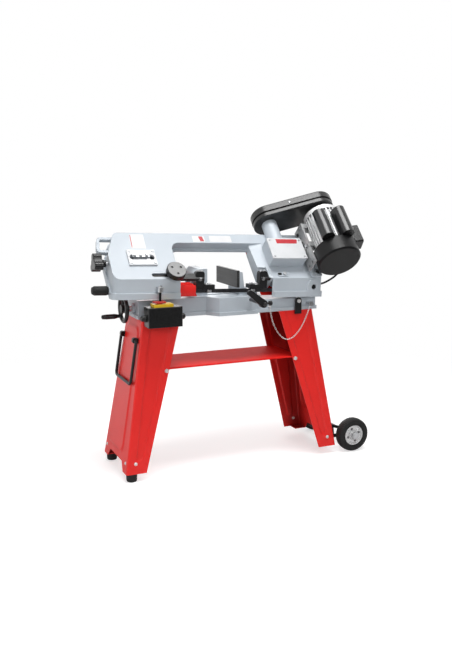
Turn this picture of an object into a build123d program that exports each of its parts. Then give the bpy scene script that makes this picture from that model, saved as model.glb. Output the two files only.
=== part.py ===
from build123d import *
import math
import os

# Horizontal band saw for metal on a wheeled stand, in millimetres
# X runs along the machine to the right, Y to the back, Z up from the floor

# Stand
LEG_FOOT_X = 389.0
LEG_TOP_X = 310.0
LEG_FOOT_Y = 134.0
LEG_TOP_Y = 84.5
LEG_FOOT_FLANGE = 69.0
LEG_TOP_FLANGE = 130.0
LEG_SHEET = 2.5
LEG_BEND = 7.0
FOOT_HEIGHT = 27.0
FOOT_RADIUS = 19.0
FOOT_X = 366.0
FOOT_Y = 116.0
SHELF_TOP = 360.0
SHELF_HALF_LENGTH = 250.0
SHELF_HALF_WIDTH = 97.8
SHELF_LIP = 15.0
SHEET = 2.0
HANDLE_TOP = 452.0
HANDLE_DROP = 142.0
HANDLE_HALF_WIDTH = 82.0
HANDLE_BAR = 5.0
HANDLE_OFFSET = 10.0

# Cart wheels
WHEEL_X = 454.0
WHEEL_Y = 135.0
TYRE_RADIUS = 60.0
TYRE_HALF_WIDTH = 18.5
HUB_RADIUS = 35.9
AXLE_RADIUS = 8.0
AXLE_HALF_LENGTH = 160.0
RUNNING_FIT = 0.06

# Bed and vise
BED_BASE = 518.0
BED_TOP = 578.0
BED_TAIL_TOP = 561.0
BED_LEFT = -310.0
BED_RIGHT = 324.0
BED_BACK = 80.0
BED_FRONT = -50.0
BLOCK_FRONT = -95.0
TAIL_FRONT = -78.0
BED_WALL = 8.0
VISE_Y = 0.0
VISE_Z = 548.0
VISE_SCREW = 9.0
FIXED_FACE = 37.0
MOVING_FACE = -55.0
JAW_TOP = 660.0
HANDWHEEL_RADIUS = 41.0
HANDWHEEL_X = -346.0
CRANK_ANGLE = 317.0

# Bow: a tilted frame whose wheels turn in a plane at 45 degrees, lifted a little on its stop
PIVOT_X = 306.0
PIVOT_Z = 597.0
PIVOT_PIN = 9.0
REST_TILT = 2.45
AXIS_Y = -3.9
AXIS_Z = 650.0
SLOPE = 45.0
WHEEL_RADIUS = 92.0
IDLER_X = -298.0
TENSION_PLATE_X = -296.0
TENSION_Y = 5.5
DRIVE_X = 230.5
BLADE_WIDTH = 12.7
BLADE_THICK = 0.65
TOP_FACE = 49.0
FRONT_EDGE = -80.0
BACK_EDGE = 113.0
COVER_FACE = -22.0
SKIRT = 65.0
RIM_HEIGHT = 20.0
RIM_OUT = 5.0
WALL = 6.0
PAN_LEFT = -404.0
PAN_RIGHT = 338.0
THROAT_LEFT = -183.0
THROAT_RIGHT = 104.0
THROAT_CORNER = 30.0
TAIL_LEFT = 150.0
BEAM_EDGE = 73.0
LEAN_START = 24.0
LEAN = 20.3
ARM_LOW = 12.0
ARM_EDGE = 40.0
LOW_WALL_X = 122.0

# Blade guides
GUIDE_Y = -64.0
GUIDE_BAR_LOW = 31.0
GUIDE_BAR_HIGH = 42.6
GUIDE_HALF_WIDTH = 11.0
GUIDE_COLUMN = 14.5
LEFT_GUIDE_X = -110.0
RIGHT_GUIDE_X = 119.0
GUIDE_KNOB_X = -200.0
GUIDE_BOLT_X = 196.0
ROLLER_RADIUS = 7.5
ROLLER_REACH = 35.0
ROLLER_GAP = 0.3
TWIST_LEFT = -165.0
TWIST_RIGHT = 128.0

# Drive
GEAR_LEVEL = 62.0
GEARBOX_X = (148.0, 279.0)
GEARBOX_Y = (-31.0, 58.0)
GEARBOX_TOP = 93.0
WORM_X = 200.5
WORM_SHAFT = 7.0
GEAR_TEETH = 22
GEAR_RADIUS = 20.0
WORM_RADIUS = 9.6
TUBE_END = 149.5
MOTOR_X = 367.0
MOTOR_Z = 137.6
MOTOR_FAN_END = -83.0
MOTOR_DRIVE_END = 140.0
MOTOR_RADIUS = 62.0
COWL_RADIUS = 76.0
GUARD_RADIUS = 55.0
GUARD_SEAM = 168.0
GUARD_END = 195.0
PULLEY_STEPS = (46.0, 36.0, 26.0)
STEP_WIDTH = 12.0
PULLEY_START = 154.0

ROOT2 = math.sqrt(2.0)
LEVEL = Pos(0, AXIS_Y, AXIS_Z) * Rot(SLOPE, 0, 0)
TILT = Pos(PIVOT_X, 0, PIVOT_Z) * Rot(0, REST_TILT, 0) * Pos(-PIVOT_X, 0, -PIVOT_Z)
BOW = TILT * LEVEL
BLADE_Y = AXIS_Y - WHEEL_RADIUS / ROOT2
BLADE_Z = AXIS_Z - WHEEL_RADIUS / ROOT2

nodes = {}


def block(x, y, z):
    """Box given by its low and high value along each axis."""
    size = [high - low for low, high in (x, y, z)]
    middle = [(low + high) / 2 for low, high in (x, y, z)]
    return Pos(*middle) * Box(*size)


def rod(start, end, radius):
    """Round bar from one point to another."""
    run = Vector(*end) - Vector(*start)
    bar = Cylinder(radius, run.length, align=(Align.CENTER, Align.CENTER, Align.MIN))
    return Plane(origin=start, z_dir=run) * bar


def prism_x(points, x):
    """Solid of a (y, z) outline between two places along X."""
    face = make_face(Polyline(*[(x[0], a, b) for a, b in points], close=True))
    return extrude(face, x[1] - x[0], dir=(1, 0, 0))


def prism_y(points, y):
    """Solid of an (x, z) outline between two places along Y."""
    face = make_face(Polyline(*[(a, y[0], b) for a, b in points], close=True))
    return extrude(face, y[1] - y[0], dir=(0, 1, 0))


def prism_z(points, z):
    """Solid of an (x, y) outline between two heights."""
    face = make_face(Polyline(*[(a, b, z[0]) for a, b in points], close=True))
    return extrude(face, z[1] - z[0], dir=(0, 0, 1))


def turned(points, centre, axis):
    """Solid of a (radius, distance) outline turned about an axis through a centre."""
    face = make_face(Polyline(*[(r, 0, d) for r, d in points], close=True))
    return Plane(origin=centre, z_dir=axis) * revolve(face, Axis.Z)


def edge_at(shape, point):
    """The edge of a shape that passes through a point."""
    return shape.edges().sort_by_distance(point)[0]


def rounded(solid, *corners):
    """Round the edges of a solid that pass through given points, each with its own radius."""
    for point, radius in corners:
        solid = fillet(edge_at(solid, point), radius)
    return solid


def hex_bolt(seat, axis, size=9.0, height=5.0):
    """Head of a hexagon bolt standing on a seat."""
    return Plane(origin=seat, z_dir=axis) * extrude(RegularPolygon(size, 6), height)


def group(shapes):
    """Separate pieces of one kind held as one node."""
    return Compound(list(shapes))


# Legs: sheet channels, wide flanges at the top, wide panel at the foot, open to the middle
def leg_section(height, inset):
    part = (height - FOOT_HEIGHT) / (BED_BASE - FOOT_HEIGHT)
    outer = LEG_FOOT_X + (LEG_TOP_X - LEG_FOOT_X) * part - inset
    half = LEG_FOOT_Y + (LEG_TOP_Y - LEG_FOOT_Y) * part - inset
    flange = LEG_FOOT_FLANGE + (LEG_TOP_FLANGE - LEG_FOOT_FLANGE) * part
    reach = flange + (LEG_SHEET * 8 if inset else 0)
    sketch = Pos(-outer + reach / 2, 0) * Rectangle(reach, 2 * half)
    corners = sketch.vertices().sort_by(Axis.X)[:2]
    return Pos(0, 0, height) * fillet(corners, LEG_BEND - inset)


def panel_x(height):
    """Outer face of a leg, as a distance from the middle."""
    part = (height - FOOT_HEIGHT) / (BED_BASE - FOOT_HEIGHT)
    return LEG_FOOT_X + (LEG_TOP_X - LEG_FOOT_X) * part


def leg():
    sheet = loft([leg_section(FOOT_HEIGHT, 0), leg_section(BED_BASE, 0)], ruled=True)
    sheet -= loft([leg_section(FOOT_HEIGHT, LEG_SHEET), leg_section(BED_BASE, LEG_SHEET)], ruled=True)
    inner = LEG_TOP_X - LEG_SHEET - 4
    top = (-inner, -LEG_TOP_X + LEG_TOP_FLANGE)
    half = LEG_TOP_Y - 1
    sheet += block(top, (-half, half), (BED_BASE - LEG_SHEET, BED_BASE))
    for side in (-1, 1):
        ends = sorted((side * 92, side * (LEG_FOOT_Y - 1)))
        pad = (-LEG_FOOT_X + 1.5, -LEG_FOOT_X + LEG_FOOT_FLANGE)
        sheet += block(pad, ends, (FOOT_HEIGHT, FOOT_HEIGHT + LEG_SHEET))
    arch_half, arch_height = 90.0, 30.0
    low = FOOT_HEIGHT - 1
    arch = [(-arch_half, low), (arch_half, low), (arch_half - 22, low + arch_height)]
    arch += [(-arch_half + 22, low + arch_height)]
    return sheet - prism_x(arch, (-LEG_FOOT_X - 5, -LEG_FOOT_X + 20))


left_leg = leg()
nodes["left_leg"] = left_leg
nodes["right_leg"] = mirror(left_leg, Plane.YZ)

# Shelf: a shallow sheet tray whose lips stand inside the leg flanges
shelf_x = (-SHELF_HALF_LENGTH, SHELF_HALF_LENGTH)
shelf_y = (-SHELF_HALF_WIDTH, SHELF_HALF_WIDTH)
shelf = block(shelf_x, shelf_y, (SHELF_TOP - SHELF_LIP, SHELF_TOP))
hollow_x = (shelf_x[0] - 1, shelf_x[1] + 1)
hollow_y = (shelf_y[0] + SHEET, shelf_y[1] - SHEET)
shelf -= block(hollow_x, hollow_y, (SHELF_TOP - SHELF_LIP - 1, SHELF_TOP - SHEET))
nodes["shelf"] = shelf

# Rubber feet under the left leg
foot_low = FOOT_RADIUS - 2
foot_outline = [(0, 0), (foot_low - 2, 0), (foot_low, 3), (FOOT_RADIUS, FOOT_HEIGHT), (0, FOOT_HEIGHT)]
nodes["rubber_feet"] = group(
    turned(foot_outline, (-FOOT_X, side * FOOT_Y, 0), (0, 0, 1)) for side in (-1, 1)
)

# Carry handle: a bail that hangs on the left leg, and its two eyes
panel_lean = math.atan2(LEG_FOOT_X - LEG_TOP_X, BED_BASE - FOOT_HEIGHT)
panel_out = (-math.cos(panel_lean), 0, math.sin(panel_lean))
panel_plane = Plane(origin=(-panel_x(HANDLE_TOP), 0, HANDLE_TOP), x_dir=(0, 1, 0), z_dir=panel_out)
handle_pivot = panel_plane.from_local_coords((0, 0, HANDLE_OFFSET))
pin_end = HANDLE_HALF_WIDTH - 18
bail_points = [
    (-pin_end, 0, HANDLE_OFFSET),
    (-HANDLE_HALF_WIDTH, 0, HANDLE_OFFSET),
    (-HANDLE_HALF_WIDTH, HANDLE_DROP, HANDLE_OFFSET),
    (HANDLE_HALF_WIDTH, HANDLE_DROP, HANDLE_OFFSET),
    (HANDLE_HALF_WIDTH, 0, HANDLE_OFFSET),
    (pin_end, 0, HANDLE_OFFSET),
]
bail_path = FilletPolyline(*bail_points, radius=[7, 14, 14, 7])
bail_ring = Plane(origin=bail_points[0], z_dir=(-1, 0, 0)) * Circle(HANDLE_BAR)
nodes["carry_handle"] = panel_plane * sweep(bail_ring, bail_path)


def handle_eye(side):
    inner, outer = side * (pin_end - 4), side * (HANDLE_HALF_WIDTH - 9)
    ends = sorted((inner, outer))
    eye = block(ends, (-9, 9), (0, HANDLE_OFFSET + 9))
    eye = fillet(eye.edges().filter_by(Axis.X).sort_by(Axis.Z)[2:], 7)
    bore = (ends[0] - 1, 0, HANDLE_OFFSET), (ends[1] + 1, 0, HANDLE_OFFSET)
    return panel_plane * (eye - rod(*bore, HANDLE_BAR + RUNNING_FIT))


nodes["handle_eyes"] = group(handle_eye(side) for side in (-1, 1))

# Axle bracket on the right leg: a sheet base with two pierced arms
bracket_sheet = 4.0
arm_y = 102.0
bracket_out = (math.cos(panel_lean), 0, math.sin(panel_lean))
bracket_plane = Plane(origin=(panel_x(70), 0, 70), x_dir=(0, 1, 0), z_dir=bracket_out)
base_half = arm_y + bracket_sheet / 2
bracket = bracket_plane * block((-base_half, base_half), (-26, 30), (0, bracket_sheet))
low_x, high_x = panel_x(43) + 1, panel_x(98) + 1
tip_x = WHEEL_X + 12
arm_outline = [(low_x, 44), (WHEEL_X, 48), (tip_x, 55), (tip_x, 70), (WHEEL_X, 77), (high_x, 97)]
arm_hole = [(low_x + 12, 57), (WHEEL_X - 18, 58), (WHEEL_X - 18, 70), (high_x + 18, 82)]
for side in (-1, 1):
    ends = sorted((side * (arm_y - bracket_sheet / 2), side * (arm_y + bracket_sheet / 2)))
    bracket += prism_y(arm_outline, ends) - prism_y(arm_hole, (ends[0] - 1, ends[1] + 1))
bracket -= rod((WHEEL_X, -arm_y - 9, TYRE_RADIUS), (WHEEL_X, arm_y + 9, TYRE_RADIUS), AXLE_RADIUS)
nodes["axle_bracket"] = bracket - nodes["right_leg"]
axle_ends = [(WHEEL_X, side * AXLE_HALF_LENGTH, TYRE_RADIUS) for side in (-1, 1)]
axle = rod(*axle_ends, AXLE_RADIUS)
cap_outline = [(0, -2), (13, -2), (13, 2), (9, 6), (0, 6)]
for side in (-1, 1):
    axle += turned(cap_outline, (WHEEL_X, side * AXLE_HALF_LENGTH, TYRE_RADIUS), (0, side, 0))
nodes["axle"] = axle


# Cart wheels: a rounded tyre on a dished hub that runs on the axle
def tyre(centre):
    bead, wall, edge = 15.0, 43.0, 13.0
    shoulder = TYRE_RADIUS - 3.0
    outline = Polyline(
        (wall, 0, TYRE_HALF_WIDTH), (HUB_RADIUS + 0.1, 0, bead),
        (HUB_RADIUS + 0.1, 0, -bead), (wall, 0, -TYRE_HALF_WIDTH),
    )
    outline += ThreePointArc(
        (wall, 0, -TYRE_HALF_WIDTH), (shoulder - 5, 0, -TYRE_HALF_WIDTH + 0.5), (shoulder, 0, -edge)
    )
    outline += ThreePointArc((shoulder, 0, -edge), (TYRE_RADIUS, 0, 0), (shoulder, 0, edge))
    outline += ThreePointArc(
        (shoulder, 0, edge), (shoulder - 5, 0, TYRE_HALF_WIDTH - 0.5), (wall, 0, TYRE_HALF_WIDTH)
    )
    return Plane(origin=centre, z_dir=(0, 1, 0)) * revolve(make_face(outline), Axis.Z)


def hub(centre):
    bore, boss, dish, web, rim, half = AXLE_RADIUS + RUNNING_FIT, 15.0, 30.5, 5.0, 15.0, 22.0
    outline = [(bore, -half), (boss, -half), (boss, -web), (dish, -web), (dish + 2, -rim), (HUB_RADIUS, -rim)]
    outline += [(r, -d) for r, d in reversed(outline)]
    return turned(outline, centre, (0, 1, 0))


for name, side in (("front", -1), ("rear", 1)):
    wheel_centre = (WHEEL_X, side * WHEEL_Y, TYRE_RADIUS)
    nodes[name + "_tyre"] = tyre(wheel_centre)
    nodes[name + "_hub"] = hub(wheel_centre)

# Bed: a hollow iron casting, a raised block under the blade and a low tail that carries the pivot
bed_outline = [
    (BED_LEFT, BED_FRONT), (-76, BED_FRONT), (-46, BLOCK_FRONT), (89, BLOCK_FRONT), (89, TAIL_FRONT),
    (BED_RIGHT, TAIL_FRONT), (BED_RIGHT, BED_BACK), (BED_LEFT, BED_BACK),
]
bed = prism_z(bed_outline, (BED_BASE, BED_TOP))
bed_hollow = offset(make_face(Polyline(*bed_outline, close=True)), -BED_WALL)
base_flange = offset(make_face(Polyline(*bed_outline, close=True)), 4.0, kind=Kind.INTERSECTION)
bed += Pos(0, 0, BED_BASE) * extrude(base_flange, 12.0)
tail_edge = 112.0
bed -= block((tail_edge, BED_RIGHT + 9), (TAIL_FRONT - 9, BED_BACK + 9), (BED_TAIL_TOP, BED_TOP + 1))
main_hollow = Pos(0, 0, BED_BASE - 1) * extrude(bed_hollow, BED_TOP - BED_BASE - 11)
tail_lid = block((tail_edge - 12, BED_RIGHT), (TAIL_FRONT, BED_BACK), (BED_TAIL_TOP - 12, BED_TOP))
bed -= main_hollow - tail_lid
bed -= block((-226, 34), (VISE_Y - 11, VISE_Y + 11), (BED_TOP - 20, BED_TOP + 1))
bed -= block((-47, 90), (BLADE_Y - 3, BLADE_Y + 3), (BED_TOP - 7, BED_TOP + 1))
bed -= rod((BED_LEFT - 9, VISE_Y, VISE_Z), (BED_LEFT + 9, VISE_Y, VISE_Z), VISE_SCREW + RUNNING_FIT)
boss = rod((BED_LEFT - 8, VISE_Y, VISE_Z), (BED_LEFT, VISE_Y, VISE_Z), 17)
bed += boss - rod((BED_LEFT - 9, VISE_Y, VISE_Z), (BED_LEFT + 1, VISE_Y, VISE_Z), VISE_SCREW + RUNNING_FIT)
ear_outline = [(288, BED_TAIL_TOP - 1), (BED_RIGHT, BED_TAIL_TOP - 1), (BED_RIGHT, PIVOT_Z), (288, PIVOT_Z)]
EARS = ((-82.0, -68.0), (60.0, BED_BACK))
for span in EARS:
    ear = prism_y(ear_outline, span)
    ear += rod((PIVOT_X, span[0], PIVOT_Z), (PIVOT_X, span[1], PIVOT_Z), 18)
    bed += ear - rod((PIVOT_X, span[0] - 1, PIVOT_Z), (PIVOT_X, span[1] + 1, PIVOT_Z), PIVOT_PIN)
PIN_X, PIN_Z, PIN_RADIUS = 291.0, 541.0, 4.5
bed -= rod((PIN_X, TAIL_FRONT - 9, PIN_Z), (PIN_X, TAIL_FRONT + 12, PIN_Z), PIN_RADIUS + RUNNING_FIT)
nodes["bed"] = bed - block((280, BED_RIGHT + 9), (-52, 57), (BED_BASE - 1, BED_TAIL_TOP + 1))
pivot_pins = [
    rod((PIVOT_X, -92, PIVOT_Z), (PIVOT_X, EARS[0][1], PIVOT_Z), PIVOT_PIN),
    rod((PIVOT_X, EARS[1][0], PIVOT_Z), (PIVOT_X, 104, PIVOT_Z), PIVOT_PIN),
]

# Vise: a fixed jaw with a hard plate, a jaw driven by the screw, and the handwheel
jaw_front, jaw_back, jaw_low = -50.0, 128.0, 603.0
plate_thick = 10.0
plate_x = (FIXED_FACE, FIXED_FACE + plate_thick)
nodes["fixed_jaw_plate"] = block(plate_x, (jaw_front, jaw_back), (jaw_low, JAW_TOP))
body_outline = [
    (plate_x[1], BED_TOP), (112, BED_TOP), (112, BED_TOP + 14), (66, BED_TOP + 14),
    (58, JAW_TOP - 6), (plate_x[1], JAW_TOP - 4),
]
fixed_jaw = prism_y(body_outline, (jaw_front, 46))
fixed_jaw += block((plate_x[1], plate_x[1] + 9), (44, jaw_back - 12), (jaw_low + 4, JAW_TOP - 6))
window = [(72, BED_TOP - 1), (100, BED_TOP - 1), (100, BED_TOP + 20), (72, BED_TOP + 20)]
fixed_jaw -= prism_y(window, (-22, 18))
nodes["fixed_jaw"] = fixed_jaw
jaw_bolts = [hex_bolt((88, y, BED_TOP + 14), (0, 0, 1)) for y in (-36, 32)]

moving_x = (MOVING_FACE - 40, MOVING_FACE)
jaw_side = [
    (moving_x[0], BED_TOP + 0.3), (moving_x[1], BED_TOP + 0.3), (moving_x[1], JAW_TOP + 7),
    (moving_x[1] - 26, JAW_TOP + 7), (moving_x[0], JAW_TOP - 8),
]
moving_jaw = prism_y(jaw_side, (-12, 95))
pocket_side = [
    (moving_x[0] - 1, BED_TOP + 14), (moving_x[1] - 10, BED_TOP + 14), (moving_x[1] - 10, JAW_TOP - 14),
    (moving_x[1] - 14, JAW_TOP - 10), (moving_x[0] - 1, BED_TOP + 52),
]
for span in ((-2, 36), (44, 85)):
    moving_jaw -= prism_y(pocket_side, span)
nut_x, nut_y = (moving_x[0] + 4, moving_x[1] - 6), (VISE_Y - 10.5, VISE_Y + 10.5)
nut = block(nut_x, nut_y, (VISE_Z - 16, BED_TOP + 5))
nut -= rod((moving_x[0], VISE_Y, VISE_Z), (moving_x[1], VISE_Y, VISE_Z), VISE_SCREW + RUNNING_FIT)
nodes["moving_jaw"] = moving_jaw + nut
nodes["vise_screw"] = rod((HANDWHEEL_X + 0.5, VISE_Y, VISE_Z), (36, VISE_Y, VISE_Z), VISE_SCREW)

handwheel_centre = Vector(HANDWHEEL_X, VISE_Y, VISE_Z)
rim_half, rim_flat = 6.0, 3.0
rim_outline = [
    (HANDWHEEL_RADIUS + r, d) for r, d in (
        (-rim_half, -rim_flat), (-rim_flat, -rim_half), (rim_flat, -rim_half), (rim_half, -rim_flat),
        (rim_half, rim_flat), (rim_flat, rim_half), (-rim_flat, rim_half), (-rim_half, rim_flat),
    )
]
handwheel = turned(rim_outline, (0, 0, 0), (0, 0, 1)) + Pos(0, 0, 4) * Cylinder(14, 26)
crank_pin = Pos(HANDWHEEL_RADIUS, 0, 0) * Rot(0, 180, 0)
pin_align = (Align.CENTER, Align.CENTER, Align.MIN)
for index in range(3):
    spoke = Pos(HANDWHEEL_RADIUS / 2, 0, 0) * Rot(0, 90, 0) * Cylinder(4.5, HANDWHEEL_RADIUS)
    handwheel += Rot(0, 0, 120 * index) * spoke
handwheel += crank_pin * Cylinder(6, 14, align=pin_align)
handwheel += crank_pin * Cylinder(4, 66, align=pin_align)
wheel_plane = Plane(origin=handwheel_centre, x_dir=(0, 1, 0), z_dir=(1, 0, 0)) * Rot(0, 0, CRANK_ANGLE)
handwheel -= Pos(0, 0, 9) * Cylinder(VISE_SCREW, 17)
nodes["handwheel"] = wheel_plane * handwheel
crank = math.radians(CRANK_ANGLE)
crank_seat = handwheel_centre + Vector(0, math.cos(crank), math.sin(crank)) * HANDWHEEL_RADIUS
grip_outline = [(4 + RUNNING_FIT, 0), (7, 0), (8.5, 8), (8.5, 36), (7, 50), (4 + RUNNING_FIT, 50)]
nodes["crank_grip"] = turned(grip_outline, crank_seat - Vector(14.3, 0, 0), (-1, 0, 0))

# Switch box on the front of the bed, with its yellow base, red flap and two glands
box_x, box_y, box_z = (-306.0, -192.0), (-142.0, -88.0), (503.0, 567.0)
switch_box = block(box_x, box_y, box_z)
switch_box = fillet(switch_box.edges().filter_by(Axis.Z), 5)
switch_box = fillet(switch_box.edges().group_by(Axis.Z)[-1], 2)
switch_box += block((-290, -210), (box_y[1] - 2, BED_FRONT), (BED_BASE + 14, box_z[1] - 8))
gland_outline = [(0, -3), (12, -3), (12, 5), (10, 6), (10, 13), (7, 17), (0, 17)]
gland_z = 531.0
switch_box += turned(gland_outline, (box_x[1], -112, gland_z), (1, 0, 0))
switch_box += turned(gland_outline, (box_x[0], -112, gland_z), (-1, 0, 0))
nodes["switch_box"] = switch_box
base_x, base_y = (-286.0, -220.0), (-136.0, -96.0)
switch_base = block(base_x, base_y, (box_z[1], box_z[1] + 9))
flap_x, flap_y = (-281.0, -243.0), (-131.0, -101.0)
well_x, well_y = (-270.0, -254.0), (-123.0, -109.0)
switch_base = fillet(switch_base.edges().filter_by(Axis.Z), 4)
nodes["switch_base"] = switch_base - block(well_x, well_y, (box_z[1] + 3, box_z[1] + 10))
flap = fillet(block(flap_x, flap_y, (box_z[1] + 12.6, box_z[1] + 16.5)).edges().filter_by(Axis.Z), 4)
stem_x, stem_y = [(low + 0.5, high - 0.5) for low, high in (well_x, well_y)]
nodes["switch_flap"] = flap + block(stem_x, stem_y, (box_z[1] + 6.5, box_z[1] + 13))

# Work stop: a rod in the bed block, an arm that slides on it and its thumb screw
stop_x, stop_z, stop_y = 66.0, 567.0, -200.0
stop_rod_radius, stop_rod_end, arm_thick = 6.0, -214.0, 10.0
nodes["stop_rod"] = rod((stop_x, BLOCK_FRONT - 4, stop_z), (stop_x, stop_rod_end, stop_z), stop_rod_radius)
arm_tip = (stop_x - 48, stop_z + 38)
arm_y = (stop_y, stop_y + arm_thick)
stop_arm = rod((stop_x, stop_y, stop_z), (stop_x, stop_y + 16, stop_z), 13)
stop_arm += rod((arm_tip[0], arm_y[0], arm_tip[1]), (arm_tip[0], arm_y[1], arm_tip[1]), 9)
web = [
    (stop_x - 8, stop_z - 10), (stop_x + 8, stop_z + 10),
    (arm_tip[0] + 5, arm_tip[1] + 7), (arm_tip[0] - 5, arm_tip[1] - 7),
]
stop_arm += prism_y(web, arm_y)
stop_arm -= rod((stop_x, stop_y - 1, stop_z), (stop_x, stop_y + 17, stop_z), stop_rod_radius + RUNNING_FIT)
screw_outline = [(0, -3), (3, -3), (3, 8), (8, 9), (8, 17), (6, 19), (0, 19)]
nodes["stop_arm"] = stop_arm + turned(screw_outline, (stop_x + 13, stop_y + 8, stop_z), (1, 0, 0))

# Latch strap and the lock pin parked beside it
strap_x, strap_z, strap_y = 251.0, 551.0, TAIL_FRONT - 14
strap = rod((strap_x, strap_y, strap_z), (strap_x, strap_y + 5, strap_z), 12)
strap += block((strap_x - 12, strap_x + 12), (strap_y, strap_y + 5), (506, strap_z))
strap -= rod((strap_x, strap_y - 1, strap_z), (strap_x, strap_y + 6, strap_z), 4 + RUNNING_FIT)
nodes["latch_strap"] = strap
strap_bolt = rod((strap_x, strap_y - 0.3, strap_z), (strap_x, TAIL_FRONT, strap_z), 4)
strap_bolt += rod((strap_x, strap_y + 5.3, strap_z), (strap_x, TAIL_FRONT, strap_z), 8)
strap_bolt += hex_bolt((strap_x, strap_y - 0.3, strap_z), (0, -1, 0), 7)
lock_pin = rod((PIN_X, -112, PIN_Z), (PIN_X, TAIL_FRONT + 10, PIN_Z), PIN_RADIUS)
nodes["lock_pin"] = lock_pin + rod((PIN_X, -112, PIN_Z), (PIN_X, -107, PIN_Z), 8)


# Limp lines follow straight runs joined by arcs as large as the runs allow
def line_tube(points, radius, label):
    points = [Vector(*point) for point in points]
    radii = []
    for before, here, after in zip(points, points[1:], points[2:]):
        turn = (here - before).get_angle(after - here)
        run = min((here - before).length, (after - here).length)
        radii.append(0.45 * run / math.tan(math.radians(turn / 2)))
    path = FilletPolyline(*points, radius=radii)
    tube = sweep(Plane(origin=points[0], z_dir=points[1] - points[0]) * Circle(radius), path)
    print(label, "radii", [round(r) for r in radii], "length", round(path.length, 1))
    ideal = math.pi * radius ** 2 * path.length
    print(label, "volume", round(tube.volume), "section times length", round(ideal))
    return tube


# Chain that keeps the lock pin, hung from an eye in the bed
eye_x, eye_z = 143.0, 537.0
chain_radius = 2.5
chain_points = [
    (eye_x, -88, eye_z - 3), (147, -91, 500), (160, -95, 462), (182, -98.5, 430), (208, -100, 418),
    (236, -100.5, 432), (262, -101.5, 465), (280, -103, 505), (PIN_X - 0.5, -103.5, PIN_Z - PIN_RADIUS - 0.3),
]
nodes["lock_chain"] = line_tube(chain_points, chain_radius, "chain")
chain_eye = rod((eye_x, TAIL_FRONT, eye_z), (eye_x, -92, eye_z), 2.5)

# Fasteners of the stand and bed
flange_lean = math.atan2(LEG_FOOT_Y - LEG_TOP_Y, BED_BASE - FOOT_HEIGHT)


def flange_y(height):
    """Outer face of a leg flange, as a distance from the middle."""
    return LEG_FOOT_Y - (height - FOOT_HEIGHT) * math.tan(flange_lean)


def stand_bolt(x, side, height):
    axis = (0, side * math.cos(flange_lean), math.sin(flange_lean))
    return hex_bolt((x, side * flange_y(height), height), axis, 7, 4.5)


stand_bolts = [stand_bolt(end * 236, side, 352) for end in (-1, 1) for side in (-1, 1)]
nodes["base_bolts"] = group(pivot_pins + jaw_bolts + [strap_bolt, chain_eye] + stand_bolts)

# Bow casting: two deep pans joined by a channel beam, with a front skirt that hangs upright
drop = SKIRT / ROOT2
SKIRT_LOW = (FRONT_EDGE - drop, TOP_FACE - drop)
HEM_SUM = SKIRT_LOW[0] + SKIRT_LOW[1]
HEM = (HEM_SUM - COVER_FACE, COVER_FACE)
pan_section = [(BACK_EDGE, TOP_FACE), (FRONT_EDGE, TOP_FACE), SKIRT_LOW, HEM, (BACK_EDGE, COVER_FACE)]
ceiling = TOP_FACE - WALL
skirt_line = FRONT_EDGE - TOP_FACE + WALL * ROOT2
below_sum = HEM_SUM - WALL
low_z = (below_sum - skirt_line) / 2
under = COVER_FACE - WALL
cavity_section = [
    (BACK_EDGE - WALL, ceiling), (ceiling + skirt_line, ceiling), (low_z + skirt_line, low_z),
    (below_sum - under, under), (BACK_EDGE - WALL, under),
]
rim_shift = RIM_OUT / ROOT2
rim_top = (SKIRT_LOW[0] + RIM_HEIGHT / ROOT2, SKIRT_LOW[1] + RIM_HEIGHT / ROOT2)
band = COVER_FACE + RIM_HEIGHT
rim_section = [
    (rim_top[0] - rim_shift, rim_top[1] + rim_shift), (SKIRT_LOW[0] - rim_shift, SKIRT_LOW[1] + rim_shift),
    HEM, (BACK_EDGE, COVER_FACE), (BACK_EDGE, band), (rim_top[0] + rim_top[1] - band, band),
]


def left_shell(section, inset, right, back, front_point, middle, radii):
    """Left pan, rim or hollow, whose end wall leans in towards the back beside the loop."""
    lean = math.tan(math.radians(LEAN))
    end = PAN_LEFT + inset
    shift = inset / math.cos(math.radians(LEAN))
    corner = LEAN_START + (inset - shift) / lean
    far = BACK_EDGE + 40

    def lean_x(y):
        return PAN_LEFT + shift + (y - LEAN_START) * lean

    wedge = [(lean_x(corner - 60), corner - 60), (lean_x(far), far), (end - 90, far), (end - 90, corner - 60)]
    solid = prism_x(section, (end, right)) - prism_z(wedge, (-99, 99))
    places = (end, *front_point), (end, corner, middle), (lean_x(back), back, middle)
    return rounded(solid, *zip(places, radii))


skirt_mid = ((FRONT_EDGE + SKIRT_LOW[0]) / 2, (TOP_FACE + SKIRT_LOW[1]) / 2)
rim_mid = ((rim_top[0] + SKIRT_LOW[0]) / 2 - rim_shift, (rim_top[1] + SKIRT_LOW[1]) / 2 + rim_shift)
cavity_mid = [(a + b) / 2 for a, b in zip(cavity_section[1], cavity_section[2])]
back_level = (TOP_FACE + COVER_FACE) / 2
rim_level = (band + COVER_FACE) / 2
cavity_level = (ceiling + under) / 2

left_pan = left_shell(pan_section, 0, THROAT_LEFT, BACK_EDGE, skirt_mid, back_level, (22, 40, 20))
left_rim = left_shell(rim_section, -RIM_OUT, THROAT_LEFT, BACK_EDGE, rim_mid, rim_level, (27, 45, 25))
left_cavity = left_shell(
    cavity_section, WALL, THROAT_LEFT - WALL, BACK_EDGE - WALL, cavity_mid, cavity_level, (16, 34, 14)
)
mouth_section = [(-40, ceiling)] + cavity_section[1:4] + [(-40, under)]
left_cavity += prism_x(mouth_section, (THROAT_LEFT - WALL - 1, THROAT_LEFT + 1))
beam_room = (BEAM_EDGE + WALL, BACK_EDGE - WALL)
left_cavity += block((THROAT_LEFT - WALL - 1, THROAT_LEFT + 1), beam_room, (under, ceiling))

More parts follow.
